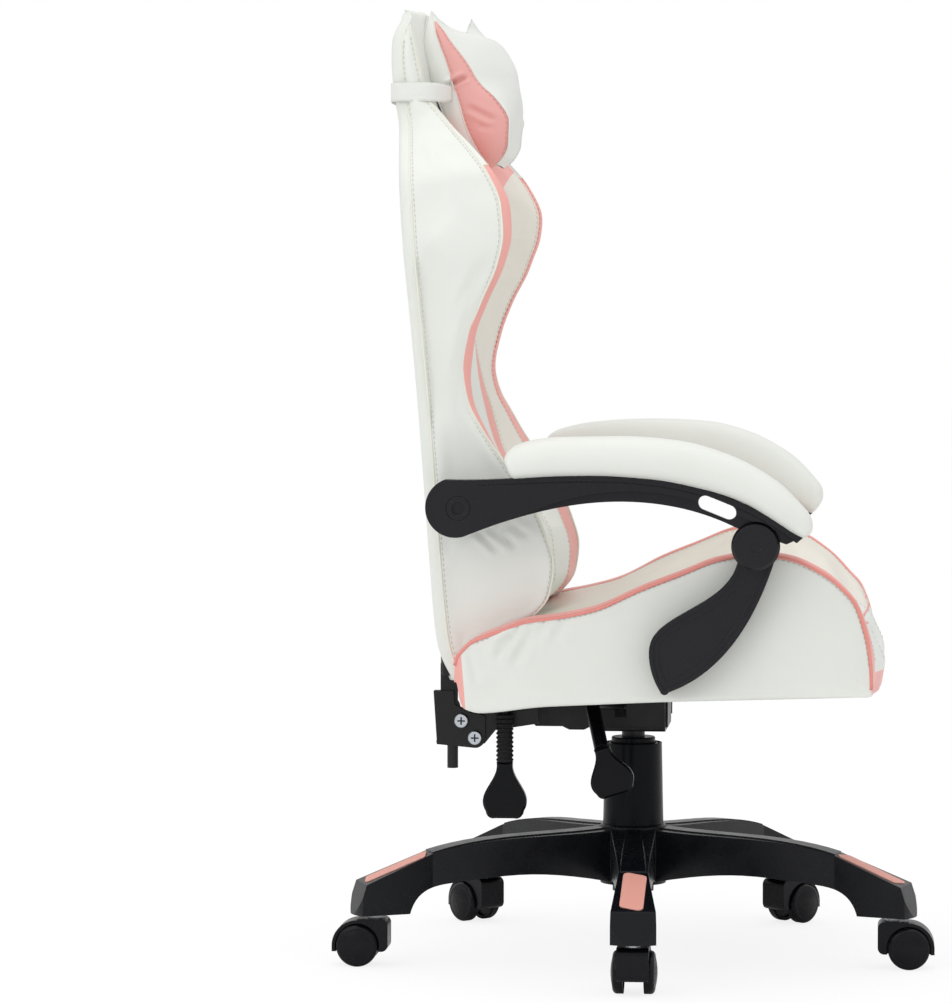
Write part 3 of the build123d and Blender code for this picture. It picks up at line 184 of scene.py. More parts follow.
def joined(name, objects):
    """Several objects made one piece."""
    bm = bmesh.new()
    materials = []
    for obj in objects:
        shift = []
        for material in obj.data.materials:
            if material not in materials:
                materials.append(material)
            shift.append(materials.index(material))
        part = bmesh.new()
        part.from_mesh(obj.data)
        for face in part.faces:
            face.material_index = shift[face.material_index]
        part.to_mesh(obj.data)
        part.free()
        bm.from_mesh(obj.data)
        bpy.data.objects.remove(obj)
    mesh = bpy.data.meshes.new(name)
    bm.to_mesh(mesh)
    bm.free()
    piece = bpy.data.objects.new(name, mesh)
    scene.collection.objects.link(piece)
    for material in materials:
        mesh.materials.append(material)
    return piece


# ---------------------------------------------------------------- materials
PEBBLES_PER_METRE = 620.0
SEAM_BLUR = 0.0003
# painted shade for the cross recess of the bolt heads
RECESS_SHADE = (0.03, 0.032, 0.036)


def fill(node, **values):
    """A node with values set on its sockets; _ stands for a space in a socket's name."""
    for socket, value in values.items():
        node.inputs[socket.replace("_", " ")].default_value = value
    return node


def shader(name, color, roughness, **sockets):
    """A new Principled material with its constants set on the shader's own sockets."""
    material = bpy.data.materials.new(name)
    material.use_nodes = True
    tree = material.node_tree
    surface = fill(tree.nodes["Principled BSDF"], Base_Color=(*color, 1), Roughness=roughness, **sockets)
    return material, tree, surface


def texture_space(tree, scale=(1, 1, 1)):
    """Object coordinates, stretched."""
    coords = tree.nodes.new("ShaderNodeTexCoord")
    mapping = fill(tree.nodes.new("ShaderNodeMapping"), Scale=scale)
    tree.links.new(coords.outputs["Object"], mapping.inputs["Vector"])
    return mapping.outputs["Vector"]


def noise_node(tree, space, scale, detail=3.0):
    node = fill(tree.nodes.new("ShaderNodeTexNoise"), Scale=scale, Detail=detail, Roughness=0.55)
    tree.links.new(space, node.inputs["Vector"])
    return node.outputs["Fac"]


def ranged(tree, value, low, high, start=0.3, end=0.7):
    """A value taken from start..end to low..high, clamped."""
    node = fill(tree.nodes.new("ShaderNodeMapRange"), From_Min=start, From_Max=end, To_Min=low, To_Max=high)
    tree.links.new(value, node.inputs["Value"])
    return node.outputs["Result"]


def bump(tree, height, strength, distance, under=None):
    node = fill(tree.nodes.new("ShaderNodeBump"), Strength=strength, Distance=distance)
    tree.links.new(height, node.inputs["Height"])
    if under is not None:
        tree.links.new(under, node.inputs["Normal"])
    return node.outputs["Normal"]


def blend_colors(tree, factor, first, second):
    node = tree.nodes.new("ShaderNodeMix")
    node.data_type = "RGBA"
    node.inputs[6].default_value = (*first, 1)
    node.inputs[7].default_value = (*second, 1)
    tree.links.new(factor, node.inputs[0])
    return node.outputs[2]


def uneven(tree, surface, pattern, roughness, less, more):
    """Roughness that wanders with a noise pattern."""
    tree.links.new(ranged(tree, pattern, roughness - less, roughness + more), surface.inputs["Roughness"])


def leather(name, color, shade, roughness=0.42):
    """Coated imitation leather: pebbled grain, fine pores and a slow change of tone."""
    material, tree, surface = shader(name, color, roughness, Specular_IOR_Level=0.42, Coat_Weight=0.06,
                                     Coat_Roughness=0.35)
    space = texture_space(tree)
    tone = ranged(tree, noise_node(tree, space, 9.0, 4.0), 0.0, 1.0)
    tree.links.new(blend_colors(tree, tone, shade, color), surface.inputs["Base Color"])
    uneven(tree, surface, noise_node(tree, space, 60.0), roughness, 0.05, 0.08)
    pebbles = fill(tree.nodes.new("ShaderNodeTexVoronoi"), Scale=PEBBLES_PER_METRE)
    pebbles.feature = "SMOOTH_F1"
    tree.links.new(space, pebbles.inputs["Vector"])
    fine = bump(tree, noise_node(tree, space, 1500.0, 2.0), 0.12, 0.0003)
    grain = bump(tree, pebbles.outputs["Distance"], 0.16, 0.0005, fine)
    slack = bump(tree, noise_node(tree, space, 26.0, 2.0), 0.10, 0.004, grain)
    tree.links.new(slack, surface.inputs["Normal"])
    return material


def slanted_leather(name, first, second, facing, edge):
    """Leather sewn from two colours: second lies beyond a straight seam that faces a direction."""
    material = leather(name, first, first)
    tree = material.node_tree
    surface = tree.nodes["Principled BSDF"]
    coords = tree.nodes.new("ShaderNodeTexCoord")
    reach = tree.nodes.new("ShaderNodeVectorMath")
    reach.operation = "DOT_PRODUCT"
    reach.inputs[1].default_value = facing
    tree.links.new(coords.outputs["Object"], reach.inputs[0])
    beyond = ranged(tree, reach.outputs["Value"], 0.0, 1.0, edge - SEAM_BLUR, edge + SEAM_BLUR)
    tree.links.new(blend_colors(tree, beyond, first, second), surface.inputs["Base Color"])
    return material


def rounded_edges(tree, radius):
    """Softened normal at sharp edges, and a mask of how near an edge is."""
    bevel = fill(tree.nodes.new("ShaderNodeBevel"), Radius=radius)
    bevel.samples = 4
    geometry = tree.nodes.new("ShaderNodeNewGeometry")
    agree = tree.nodes.new("ShaderNodeVectorMath")
    agree.operation = "DOT_PRODUCT"
    tree.links.new(bevel.outputs["Normal"], agree.inputs[0])
    tree.links.new(geometry.outputs["Normal"], agree.inputs[1])
    return bevel.outputs["Normal"], ranged(tree, agree.outputs["Value"], 1.0, 0.0, 0.86, 0.995)


def moulded(name, color, roughness, grain=0.10, edge_highlight=None, shine=0.15):
    """Moulded plastic with a spark-eroded grain and a paler colour painted on its edges as a highlight."""
    material, tree, surface = shader(name, color, roughness, Specular_IOR_Level=shine)
    space = texture_space(tree)
    uneven(tree, surface, noise_node(tree, space, 35.0, 5.0), roughness, 0.05, 0.07)
    normal, edge = rounded_edges(tree, 0.0012)
    # painted highlight: near an edge the colour turns to this paler tone
    edge_highlight = edge_highlight or tuple(min(1.0, c * 2.2 + 0.007) for c in color)
    tree.links.new(blend_colors(tree, edge, color, edge_highlight), surface.inputs["Base Color"])
    tree.links.new(bump(tree, noise_node(tree, space, 1100.0, 2.0), grain, 0.0004, normal),
                   surface.inputs["Normal"])
    return material


def plated(name, color, roughness, stretch=(1, 1, 1)):
    """Plated or brushed steel with faint streaks."""
    material, tree, surface = shader(name, color, roughness, Metallic=1.0)
    space = texture_space(tree, stretch)
    uneven(tree, surface, noise_node(tree, space, 240.0, 4.0), roughness, 0.07, 0.12)
    tree.links.new(bump(tree, noise_node(tree, space, 500.0, 2.0), 0.06, 0.0002), surface.inputs["Normal"])
    return material


def bolt_steel(name, color, face):
    """Plated bolt whose cross recess, further in than the face of the head, is painted dark as shade."""
    material = plated(name, color, 0.3)
    tree = material.node_tree
    surface = tree.nodes["Principled BSDF"]
    coords = tree.nodes.new("ShaderNodeTexCoord")
    split = tree.nodes.new("ShaderNodeSeparateXYZ")
    size = tree.nodes.new("ShaderNodeMath")
    size.operation = "ABSOLUTE"
    tree.links.new(coords.outputs["Object"], split.inputs[0])
    tree.links.new(split.outputs["X"], size.inputs[0])
    # painted shade: deeper than the face of the head, the colour turns to the dark recess tone
    shown = ranged(tree, size.outputs[0], 0.0, 1.0, face - 0.0012, face - 0.0002)
    tree.links.new(blend_colors(tree, shown, RECESS_SHADE, color), surface.inputs["Base Color"])
    return material


def powder_coat(name, color, roughness):
    """Black powder coat over steel: fine orange peel."""
    material, tree, surface = shader(name, color, roughness, Specular_IOR_Level=0.3, Coat_Weight=0.05,
                                     Coat_Roughness=0.25)
    space = texture_space(tree)
    uneven(tree, surface, noise_node(tree, space, 50.0), roughness, 0.05, 0.1)
    normal, _ = rounded_edges(tree, 0.0008)
    tree.links.new(bump(tree, noise_node(tree, space, 420.0, 2.0), 0.14, 0.0006, normal),
                   surface.inputs["Normal"])
    return material


def woven(name, color, shade, pitch):
    """Woven elastic: crossing ribs of thread."""
    material, tree, surface = shader(name, color, 0.85, Sheen_Weight=0.25, Sheen_Roughness=0.4)
    space = texture_space(tree)
    weave = []
    for axis in ("X", "Z"):
        wave = fill(tree.nodes.new("ShaderNodeTexWave"), Scale=1 / pitch, Distortion=0.6)
        wave.bands_direction = axis
        tree.links.new(space, wave.inputs["Vector"])
        weave.append(wave.outputs["Fac"])
    product = tree.nodes.new("ShaderNodeMath")
    product.operation = "MULTIPLY"
    tree.links.new(weave[0], product.inputs[0])
    tree.links.new(weave[1], product.inputs[1])
    tree.links.new(blend_colors(tree, product.outputs[0], shade, color), surface.inputs["Base Color"])
    tree.links.new(bump(tree, product.outputs[0], 0.3, 0.0006), surface.inputs["Normal"])
    return material


CREAM_TONE = (0.80, 0.765, 0.685)
CORAL_TONE = (0.87, 0.42, 0.38)
BRIGHT_WHITE = (0.84, 0.85, 0.81)
WHITE = leather("white_leather", (0.80, 0.815, 0.77), (0.775, 0.79, 0.745))
CREAM = leather("cream_leather", CREAM_TONE, (0.77, 0.735, 0.655))
CORAL = leather("coral_leather", CORAL_TONE, (0.83, 0.39, 0.35), 0.38)
SHOULDER = slanted_leather("shoulder_leather", CREAM_TONE, CORAL_TONE, (0, 1.0, 0.392), 0.5426)
HIP = slanted_leather("hip_leather", CREAM_TONE, BRIGHT_WHITE, (0, 0.85, -1.0), -0.462)
PINK = leather("pink_leather", (0.82, 0.415, 0.385), (0.78, 0.385, 0.355), 0.42)
PALE_PIPING = leather("pale_piping", (0.83, 0.84, 0.74), (0.79, 0.80, 0.70), 0.4)
RED_PIPING = leather("coral_piping", (0.82, 0.30, 0.26), (0.78, 0.28, 0.24), 0.38)
THREAD_WHITE = woven("thread_white", (0.78, 0.78, 0.74), (0.6, 0.6, 0.56), 0.0008)
THREAD_PINK = woven("thread_pink", (0.84, 0.42, 0.37), (0.7, 0.3, 0.26), 0.0008)
ELASTIC = woven("white_elastic", BRIGHT_WHITE, (0.80, 0.81, 0.77), 0.0012)
LINING = woven("black_lining", (0.03, 0.03, 0.032), (0.012, 0.012, 0.013), 0.0012)
# in moulded(), a fifth colour is the painted highlight on the edges
NYLON = moulded("black_nylon", (0.0040, 0.0045, 0.0066), 0.26, shine=0.24)
ARM_PLASTIC = moulded("arm_plastic", (0.0068, 0.0064, 0.0092), 0.28, 0.05, shine=0.32)
CASTER_PLASTIC = moulded("caster_plastic", (0.004, 0.0042, 0.006), 0.25, 0.06, shine=0.2)
COVER_PLASTIC = moulded("cover_plastic", (0.0022, 0.0027, 0.0052), 0.26, 0.08, shine=0.12)
LEVER_PLASTIC = moulded("lever_plastic", (0.0024, 0.0026, 0.0036), 0.26, 0.09)
PAD_CORAL = moulded("pad_coral", (0.84, 0.40, 0.33), 0.40, 0.10, (0.88, 0.50, 0.43))
RUBBER = moulded("black_rubber", (0.011, 0.011, 0.012), 0.5, 0.12)
ACETAL = moulded("white_acetal", (0.7, 0.7, 0.66), 0.4, 0.06, (0.78, 0.78, 0.74))
COATED = powder_coat("black_steel", (0.006, 0.006, 0.0066), 0.34)
ZINC = plated("zinc", (0.62, 0.66, 0.72), 0.26)
STEEL = plated("bearing_steel", (0.5, 0.51, 0.53), 0.32, (1, 1, 6))
CHROME = plated("chrome_rod", (0.7, 0.7, 0.71), 0.12, (1, 1, 8))
BOLT_FACE = max(abs(v.co.x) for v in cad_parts["recliner_fasteners"].data.vertices)
BOLT = bolt_steel("bolt_zinc", (0.55, 0.58, 0.63), BOLT_FACE)

NODE_MATERIALS = {
    "base_star": NYLON, "foot_pads": PAD_CORAL, "column_tube": COATED, "guide_bush": ACETAL,
    "thrust_bearing": STEEL, "piston_rod": CHROME, "rod_clip": ZINC, "gas_spring": COATED, "valve_pin": STEEL,
    "cover_lower": COVER_PLASTIC, "cover_middle": COVER_PLASTIC, "cover_upper": COVER_PLASTIC,
    "cone_socket": COATED, "mechanism_plate": COATED, "mechanism_tray": COATED, "mechanism_bolts": ZINC,
    "seat_board": LINING, "height_lever_rod": COATED, "height_lever_paddle": LEVER_PLASTIC,
    "recline_lever_rod": COATED, "recline_lever_sleeve": RUBBER, "recline_lever_paddle": LEVER_PLASTIC,
    "recliner_brackets": COATED, "recliner_arms": COATED, "recliner_fasteners": BOLT,
    "arm_frame_left": ARM_PLASTIC, "arm_frame_right": ARM_PLASTIC, "arm_link_left": ARM_PLASTIC,
    "arm_link_right": ARM_PLASTIC, "front_pivot_left": ARM_PLASTIC, "front_pivot_right": ARM_PLASTIC,
    "link_brackets": COATED, "back_frame": COATED, "rear_cap": COVER_PLASTIC,
}
for caster in range(1, 6):
    for part, material in (("hood", CASTER_PLASTIC), ("pins", STEEL), ("wheel_a", CASTER_PLASTIC),
                           ("wheel_b", CASTER_PLASTIC)):
        NODE_MATERIALS["caster_%d_%s" % (caster, part)] = material
for node, material in NODE_MATERIALS.items():
    wear(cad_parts[node], material)


# ---------------------------------------------------------------- skins: rows of loops, panel by panel
class Skin:
    """A closed run of panels swept along rows; panel edges are seams.

    half lists the panels of one side as (columns, material); a row gives the seam points of that side, a
    bulge for every panel and, as paint, the panels of another material. The other side is its mirror image.
    """

    def __init__(self, name, half, rows, materials):
        self.half = half
        self.rows = len(rows)
        self.seams = [0]
        for count, _ in half:
            self.seams.append(self.seams[-1] + count)
        self.columns = 2 * self.seams[-1]
        verts = []
        for row in rows:
            side = []
            for (count, _), a, b, bulge in zip(half, row["points"], row["points"][1:], row["bulges"]):
                for k in range(count):
                    t = k / count
                    lift = 4 * t * (1 - t)
                    side.append(Vector(mix(a, b, t)) + Vector(bulge) * lift)
            side.append(Vector(row["points"][-1]))
            other = [Vector((-p.x, p.y, p.z)) for p in side[1:-1]][::-1]
            verts += [place(*p) for p in side + other]
        faces = []
        indices = []
        for i in range(self.rows - 1):
            for j in range(self.columns):
                k = (j + 1) % self.columns
                faces.append((self.at(i, j), self.at(i, k), self.at(i + 1, k), self.at(i + 1, j)))
                indices.append((i, j))
        self.obj = new_object(name, verts, faces)
        wear(self.obj, *materials)
        self.row_paint = [[row.get("paint", {}).get(k, half[k][1]) for k in range(len(half))] for row in rows]
        for polygon, (i, j) in zip(self.obj.data.polygons, indices):
            polygon.material_index = self.row_paint[i][self.panel(j)]

    def at(self, i, j):
        """Index of the vertex in row i and column j, counted round the loop."""
        return i * self.columns + j % self.columns

    def panel(self, j):
        """Panel of a face column, counted on either side."""
        j = j if j < self.seams[-1] else self.columns - 1 - j
        return max(k for k in range(len(self.half)) if self.seams[k] <= j)

    def seam_column(self, seam, side):
        """Column of a seam on the left (1) or right (-1)."""
        j = self.seams[seam]
        return j if side > 0 else (self.columns - j) % self.columns

    def line(self, seam, side, first, last):
        """Points along a seam, from row first to row last."""
        j = self.seam_column(seam, side)
        return [self.obj.data.vertices[self.at(i, j)].co.copy() for i in range(first, last + 1)]

    def ring(self, i, first, last):
        """Points along a row between two columns."""
        return [self.obj.data.vertices[self.at(i, j)].co.copy() for j in range(first, last + 1)]

    def hold(self, fixed):
        """Weight 1 for every vertex whose row and folded column are fixed."""
        held = {}
        for i in range(self.rows):
            for j in range(self.columns):
                if fixed(i, j if j <= self.seams[-1] else self.columns - j):
                    held[self.at(i, j)] = 1.0
        return held


CLOTHS = []


def pad_out(obj, pinned, pressure, cap, stiffness=12.0, bending=1.5):
    """Book a piece for the cloth run: pinned vertices hold, the rest swells by no more than cap."""
    CLOTHS.append((obj, pinned, pressure, cap, stiffness, bending))


def run_cloth():
    """Swell all booked pieces in one run and keep the result in their meshes."""
    for obj, pinned, pressure, _, stiffness, bending in CLOTHS:
        group = obj.vertex_groups.new(name="held")
        for index, weight in pinned.items():
            group.add([index], weight, "REPLACE")
        modifier = obj.modifiers.new("swell", "CLOTH")
        settings = modifier.settings
        settings.quality = 6
        settings.mass = 0.3
        settings.tension_stiffness = stiffness
        settings.compression_stiffness = stiffness
        settings.shear_stiffness = stiffness * 0.6
        settings.bending_stiffness = bending
        settings.use_pressure = True
        settings.uniform_pressure_force = pressure
        settings.vertex_group_mass = "held"
        settings.effector_weights.gravity = 0
        modifier.collision_settings.use_collision = False
    for step in range(1, SIM_FRAMES + 1):
        scene.frame_set(step)
    graph = bpy.context.evaluated_depsgraph_get()
    for obj, _, _, cap, _, _ in CLOTHS:
        moved = [v.co.copy() for v in obj.evaluated_get(graph).data.vertices]
        modifier = obj.modifiers["swell"]
        obj.modifiers.remove(modifier)
        for vertex, target in zip(obj.data.vertices, moved):
            step = target - vertex.co
            if step.length > cap:
                step = step.normalized() * cap * (2 - cap / step.length)
            vertex.co = vertex.co + step
        obj.vertex_groups.clear()
    scene.frame_set(1)


def fold(obj, a, b, width, depth, side, beyond):
    """A soft crease in the flank from a to b, with a swell along each side of it."""
    start = place(0, *a)
    run = place(0, *b) - start
    length = run.length
    along = run.normalized()
    across = Vector((0, -along.z, along.y))
    wide = width / 1000
    for vertex in obj.data.vertices:
        if vertex.co.x * side < beyond:
            continue
        flat = Vector((0, vertex.co.y, vertex.co.z)) - start
        s = flat.dot(along) / length
        if -0.15 < s < 1.15:
            d = flat.dot(across) / wide
            fade = smooth(min(s + 0.15, 1.15 - s) / 0.35)
            shape = -math.exp(-d * d) + 0.6 * math.exp(-((d - 1.6) ** 2)) + 0.35 * math.exp(-((d + 1.6) ** 2))
            vertex.co.x += side * depth / 1000 * shape * fade


def rumple(obj, amount, size, seed):
    """Slow, shallow unevenness of stuffed leather."""
    normals = [v.normal.copy() for v in obj.data.vertices]
    for vertex, normal in zip(obj.data.vertices, normals):
        wave = noise.noise(vertex.co / size + Vector((seed, seed * 2, seed * 3)))
        vertex.co += normal * wave * amount


def refine(obj, levels=1):
    """Round the mesh with a subdivision surface."""
    modifier = obj.modifiers.new("rounding", "SUBSURF")
    modifier.levels = levels
    modifier.render_levels = levels
    modifier.boundary_smooth = "ALL"


def bake(obj):
    """The rounded mesh put in place of the cage, so that finer shapes can be pressed into it."""
    graph = bpy.context.evaluated_depsgraph_get()
    dense = bpy.data.meshes.new_from_object(obj.evaluated_get(graph))
    obj.modifiers.clear()
    obj.data = dense


def stitches(line, material):
    """Row of sewn stitches along a line of points."""
    verts = []
    faces = []
    travelled = 0.0
    goal = STITCH_PITCH / 2
    for a, b in zip(line, line[1:]):
        step = (b - a).length
        while step > 0 and travelled + step >= goal:
            t = (goal - travelled) / step
            middle = a.lerp(b, t)
            run = (b - a).normalized()
            side = run.orthogonal().normalized()
            up = run.cross(side)
            faces += tube_faces(len(STITCH_SHAPE) - 1, STITCH_SIDES, len(verts))
            for along, width in STITCH_SHAPE:
                for k in range(STITCH_SIDES):
                    angle = 2 * math.pi * k / STITCH_SIDES
                    ring = (side * math.cos(angle) + up * math.sin(angle)) * STITCH_RADIUS * width
                    verts.append(middle + run * along * STITCH_LENGTH + ring)
            goal += STITCH_PITCH
        travelled += step
    obj = new_object("sewn", verts, faces)
    outward(obj)
    wear(obj, material)
    return obj


def sewn_row(skin, seam, side, step, first, last, thread):
    """Stitches on the leather beside a seam, on the panel behind (-1) or ahead (1) of it."""
    column = skin.seam_column(seam, side)
    points = []
    for i in range(first, last + 1):
        sewn = skin.obj.data.vertices[skin.at(i, column)].co
        inward = skin.obj.data.vertices[skin.at(i, column + step * side)].co - sewn
        points.append(sewn + inward.normalized() * STITCH_SET_BACK)
    return stitches(points, thread)


def cross_seam(skin, i, first, last, radius, material):
    """Piping along a row between two columns, and its mirror image."""
    return [sweep(skin.ring(i, first, last), radius, material),
            sweep(skin.ring(i, skin.columns - last, skin.columns - first), radius, material)]


# ---------------------------------------------------------------- back
REAR_LINE = profile((352, -205), (401, -219), (494, -227), (646, -238), (796, -250), (947, -262),
                    (1000, -269), (1041, -276), (1080, -279), (1104, -278), (1128, -267))
SIDE_SEAM = profile((384, -193), (402, -175), (411, -152), (417, -129), (428, -105), (455, -85), (489, -80),
                    (524, -89), (559, -105), (580, -119), (609, -138), (646, -163), (680, -180),
                    (715, -185), (756, -178), (796, -162), (837, -144), (871, -137), (906, -140),
                    (941, -155), (969, -176), (1010, -214), (1037, -236), (1080, -248), (1135, -259))
FLOOR_LINE = profile((384, -150), (430, -118), (456, -108), (505, -110), (560, -142), (620, -179),
                     (675, -194), (748, -202), (850, -204), (930, -208), (1040, -229), (1135, -241))
HALF_WIDTH = profile((340, 200), (440, 226), (540, 238), (660, 234), (780, 248), (870, 262), (940, 250),
                     (985, 212), (1018, 172), (1040, 166), (1140, 158))
BAND_WIDTH = profile((384, 20), (460, 44), (540, 50), (600, 34), (700, 20), (780, 22), (885, 27), (925, 19),
                     (958, 3), (985, 3), (1040, 16), (1135, 14))
TROUGH_HALF = profile((384, 128), (500, 118), (640, 104), (770, 100), (900, 112), (1020, 118), (1135, 120))
STRIP_WIDTH = profile((384, 8), (470, 5), (532, 1.5), (560, 7), (605, 20), (640, 24), (720, 14), (772, 2),
                      (1135, 1.2))
STRIP_RISE = profile((384, 2), (470, 2), (532, 0.6), (560, 3), (605, 6), (640, 7), (720, 5), (772, 0.6),
                     (1135, 0.5))
CREST_SWELL = profile((384, 0), (470, -7), (540, -10), (600, -7), (640, -5), (690, -3), (725, 0), (790, 2),
                      (850, 4), (900, 5), (940, 4), (1000, 0))
# how far the stuffing gives way or rises on the sitter's left, and how much fuller the right front band is
LEFT_SLACK = profile((384, 0), (450, 3), (530, 5), (620, 2), (660, 0), (690, 4), (721, 7), (759, 8),
                     (804, 11), (848, 10), (880, 4), (905, 0), (940, 0))
LEFT_LOFT = profile((-120, 0), (-40, 4), (40, 8), (110, 8), (160, 6), (200, 2), (235, -4), (262, -8),
                    (284, 0))
RIGHT_FULLNESS = profile((560, 0), (620, 4), (680, 7), (720, 7), (760, 4), (820, 2), (900, 2), (960, 0))


# the rows run between these heights, at the rear and along the side seam
REAR_FOOT, REAR_HEAD = 352, 1127
SEAM_FOOT, SEAM_HEAD = 384, 1134


def back_row(t):
    """Seam points of the back at a fraction of its height, rear middle to front middle."""
    rear_z = REAR_FOOT + t * (REAR_HEAD - REAR_FOOT)
    seam_z = SEAM_FOOT + t * (SEAM_HEAD - SEAM_FOOT)
    rear = REAR_LINE(rear_z)
    seam = SIDE_SEAM(seam_z)
    floor = FLOOR_LINE(seam_z)
    half = HALF_WIDTH(seam_z)
    band = BAND_WIDTH(seam_z)
    inner = TROUGH_HALF(seam_z)
    strip = STRIP_WIDTH(seam_z)
    depth = max(0.0, seam - floor)
    fade = smooth(min(t, 1 - t) / 0.06)
    points = [(0, rear - 1.5, rear_z), (half - 20, rear, rear_z), (half - 1, rear + 15, rear_z + 1),
              (half - 3, seam, seam_z), (half - 3 - band, seam + (CREST_SWELL(seam_z) - 1) * fade, seam_z),
              (inner + strip, floor + STRIP_RISE(seam_z), seam_z), (inner - 4, floor, seam_z),
              (0, floor + 2, seam_z)]
    bulges = [(0, 0, 0), (4, -4, 0), (6 * fade, 0, 0), (1 * fade, (4 + 0.5 * CREST_SWELL(seam_z)) * fade, 0),
              (-2 * fade, (2 + 0.08 * depth) * fade, 0), (0, 1, 0), (0, 5 * fade, 0)]
    return {"points": points, "bulges": bulges}


# places in the back's list of materials; the first three also serve the seat, the first the pillow
IN_WHITE, IN_CORAL, IN_CREAM, IN_SHOULDER, IN_HIP = range(5)
BACK_HALF = [(9, IN_WHITE), (4, IN_WHITE), (22, IN_WHITE), (7, IN_CORAL), (11, IN_CREAM), (3, IN_CORAL),
             (9, IN_WHITE)]
BACK_STEPS = 116
# up to this height, the materials of the band, the wing and the strip
BACK_PAINT = [(408, IN_WHITE, IN_WHITE, IN_WHITE), (510, IN_CORAL, IN_WHITE, IN_WHITE),
              (532, IN_CORAL, IN_HIP, IN_WHITE), (640, IN_CORAL, IN_HIP, IN_CORAL),
              (775, IN_CORAL, IN_CREAM, IN_CORAL), (870, IN_CORAL, IN_CREAM, IN_CREAM),
              (952, IN_CORAL, IN_SHOULDER, IN_CREAM), (1010, IN_WHITE, IN_SHOULDER, IN_WHITE),
              (math.inf, IN_WHITE, IN_WHITE, IN_WHITE)]
PAINTED = (3, 4, 5)
END_STEPS = 4


def closed_end(row, shift):
    """Rows that round an end of the back over to a line through the middle of its loop."""
    ends = []
    rear = row["points"][0]
    line_u = (rear[1] + row["points"][3][1]) / 2
    line_z = (rear[2] + row["points"][-1][2]) / 2
    for k in range(1, END_STEPS + 1):
        a = math.pi / 2 * k / END_STEPS
        squeeze = 1 - math.cos(a)
        rise = math.sin(a)
        points = [(p[0] * (1 - 0.10 * squeeze), p[1] + (line_u - p[1]) * squeeze,
                   p[2] + (line_z - p[2]) * squeeze + shift * rise) for p in row["points"]]
        bulges = [tuple(c * (1 - squeeze) for c in bulge) for bulge in row["bulges"]]
        ends.append({"points": points, "bulges": bulges, "paint": dict.fromkeys(PAINTED, IN_WHITE)})
    return ends


back_rows = [back_row(k / BACK_STEPS) for k in range(BACK_STEPS + 1)]
for row in back_rows:
    height = row["points"][3][2]
    row["paint"] = dict(zip(PAINTED, next(paint[1:] for paint in BACK_PAINT if height < paint[0])))
back_rows = closed_end(back_rows[0], -8)[::-1] + back_rows + closed_end(back_rows[-1], 8)
back = Skin("back_upholstery", BACK_HALF, back_rows, (WHITE, CORAL, CREAM, SHOULDER, HIP))
still = back.hold(lambda i, j: i < 6 or i > back.rows - 7 or j in back.seams[1:7] or j < back.seams[2])
pad_out(back.obj, still, 1.8, 0.0045)


# ---------------------------------------------------------------- seat
SEAT_CREST = path((-186, 386), (-176, 397), (-140, 412), (-110, 423), (-70, 429), (-30, 438), (22, 461),
                  (68, 479), (115, 497), (150, 502), (184, 500), (205, 495), (222, 487), (241, 476),
                  (258, 461), (271, 445), (279, 423), (285, 400), (289, 368), (290, 340))
SEAT_FLOOR = path((-190, 382), (-176, 392), (-140, 396), (-110, 398), (-70, 403), (-30, 412), (22, 422),
                  (68, 432), (115, 445), (150, 451), (184, 453), (222, 451), (252, 442), (276, 422),
                  (293, 398), (303, 368), (298, 340))
SEAT_FOOT = path((-181, 321), (-166, 317), (-94, 324), (-24, 327), (55, 331), (150, 334), (284, 338))
SEAT_HALF_WIDTH = 252
# where the front lip and the coral hem begin, as a share of the run
LIP_START = 0.85
HEM_START = 0.955


def seat_row(t):
    """Seam points of the seat at a fraction from rear to front, top middle to bottom middle."""
    crest_u, crest_z = SEAT_CREST(t)
    floor_u, floor_z = SEAT_FLOOR(t)
    foot_u, foot_z = SEAT_FOOT(t)
    depth = max(0.0, crest_z - floor_z)
    fade = smooth(min(t, 1 - t) / 0.07)
    band = 26 - 14 * smooth((t - 0.25) / 0.2) - 2 * smooth((t - 0.78) / 0.2)
    band += 30 * smooth((t - 0.86) / 0.1)
    front = smooth((t - 0.72) / 0.1)
    band_u = crest_u + front * (floor_u - crest_u) * 0.30
    points = [(0, floor_u, floor_z), (126, floor_u, floor_z),
              (SEAT_HALF_WIDTH - band, band_u, crest_z + 2 * fade), (SEAT_HALF_WIDTH, crest_u, crest_z),
              (SEAT_HALF_WIDTH, foot_u, foot_z), (236, foot_u, foot_z - 0.5), (0, foot_u, foot_z)]
    puff = 3 + 0.16 * depth
    bulges = [(0, 2 * front, 5 * fade * (1 - 0.4 * front)), (0, 2 * front, puff * fade * (1 - 0.6 * front)),
              (0, 2 * front * fade, 4 * fade * (1 - 0.5 * front)), (6 * fade, 0, 0), (0, 0, 0), (0, 0, 0)]
    if t > HEM_START:
        paint = {0: IN_CORAL, 1: IN_CORAL}
    elif t > LIP_START:
        paint = {1: IN_WHITE}
    else:
        paint = {}
    return {"points": points, "bulges": bulges, "paint": paint}


IN_LINING = 3
SEAT_HALF = [(11, IN_WHITE), (12, IN_CREAM), (6, IN_CORAL), (15, IN_WHITE), (3, IN_WHITE), (12, IN_LINING)]
SEAT_STEPS = 80
HEEL_STEPS = 5
HEEL_HEIGHT = 352
seat_rows = [seat_row(k / SEAT_STEPS) for k in range(SEAT_STEPS + 1)]
rear_row = seat_rows[0]
heel_rows = []
for k in range(HEEL_STEPS, 0, -1):
    a = math.pi / 2 * k / HEEL_STEPS
    squeeze = 1 - math.cos(a)
    points = [(p[0] * (1 - 0.03 * squeeze), p[1] - 8 * math.sin(a), p[2] + (HEEL_HEIGHT - p[2]) * squeeze)
              for p in rear_row["points"]]
    bulges = [tuple(c * (1 - squeeze) for c in bulge) for bulge in rear_row["bulges"]]
    heel_rows.append({"points": points, "bulges": bulges, "paint": dict.fromkeys(range(5), IN_CORAL)})
seat_rows = heel_rows + seat_rows
seat = Skin("seat_upholstery", SEAT_HALF, seat_rows, (WHITE, CORAL, CREAM, LINING))
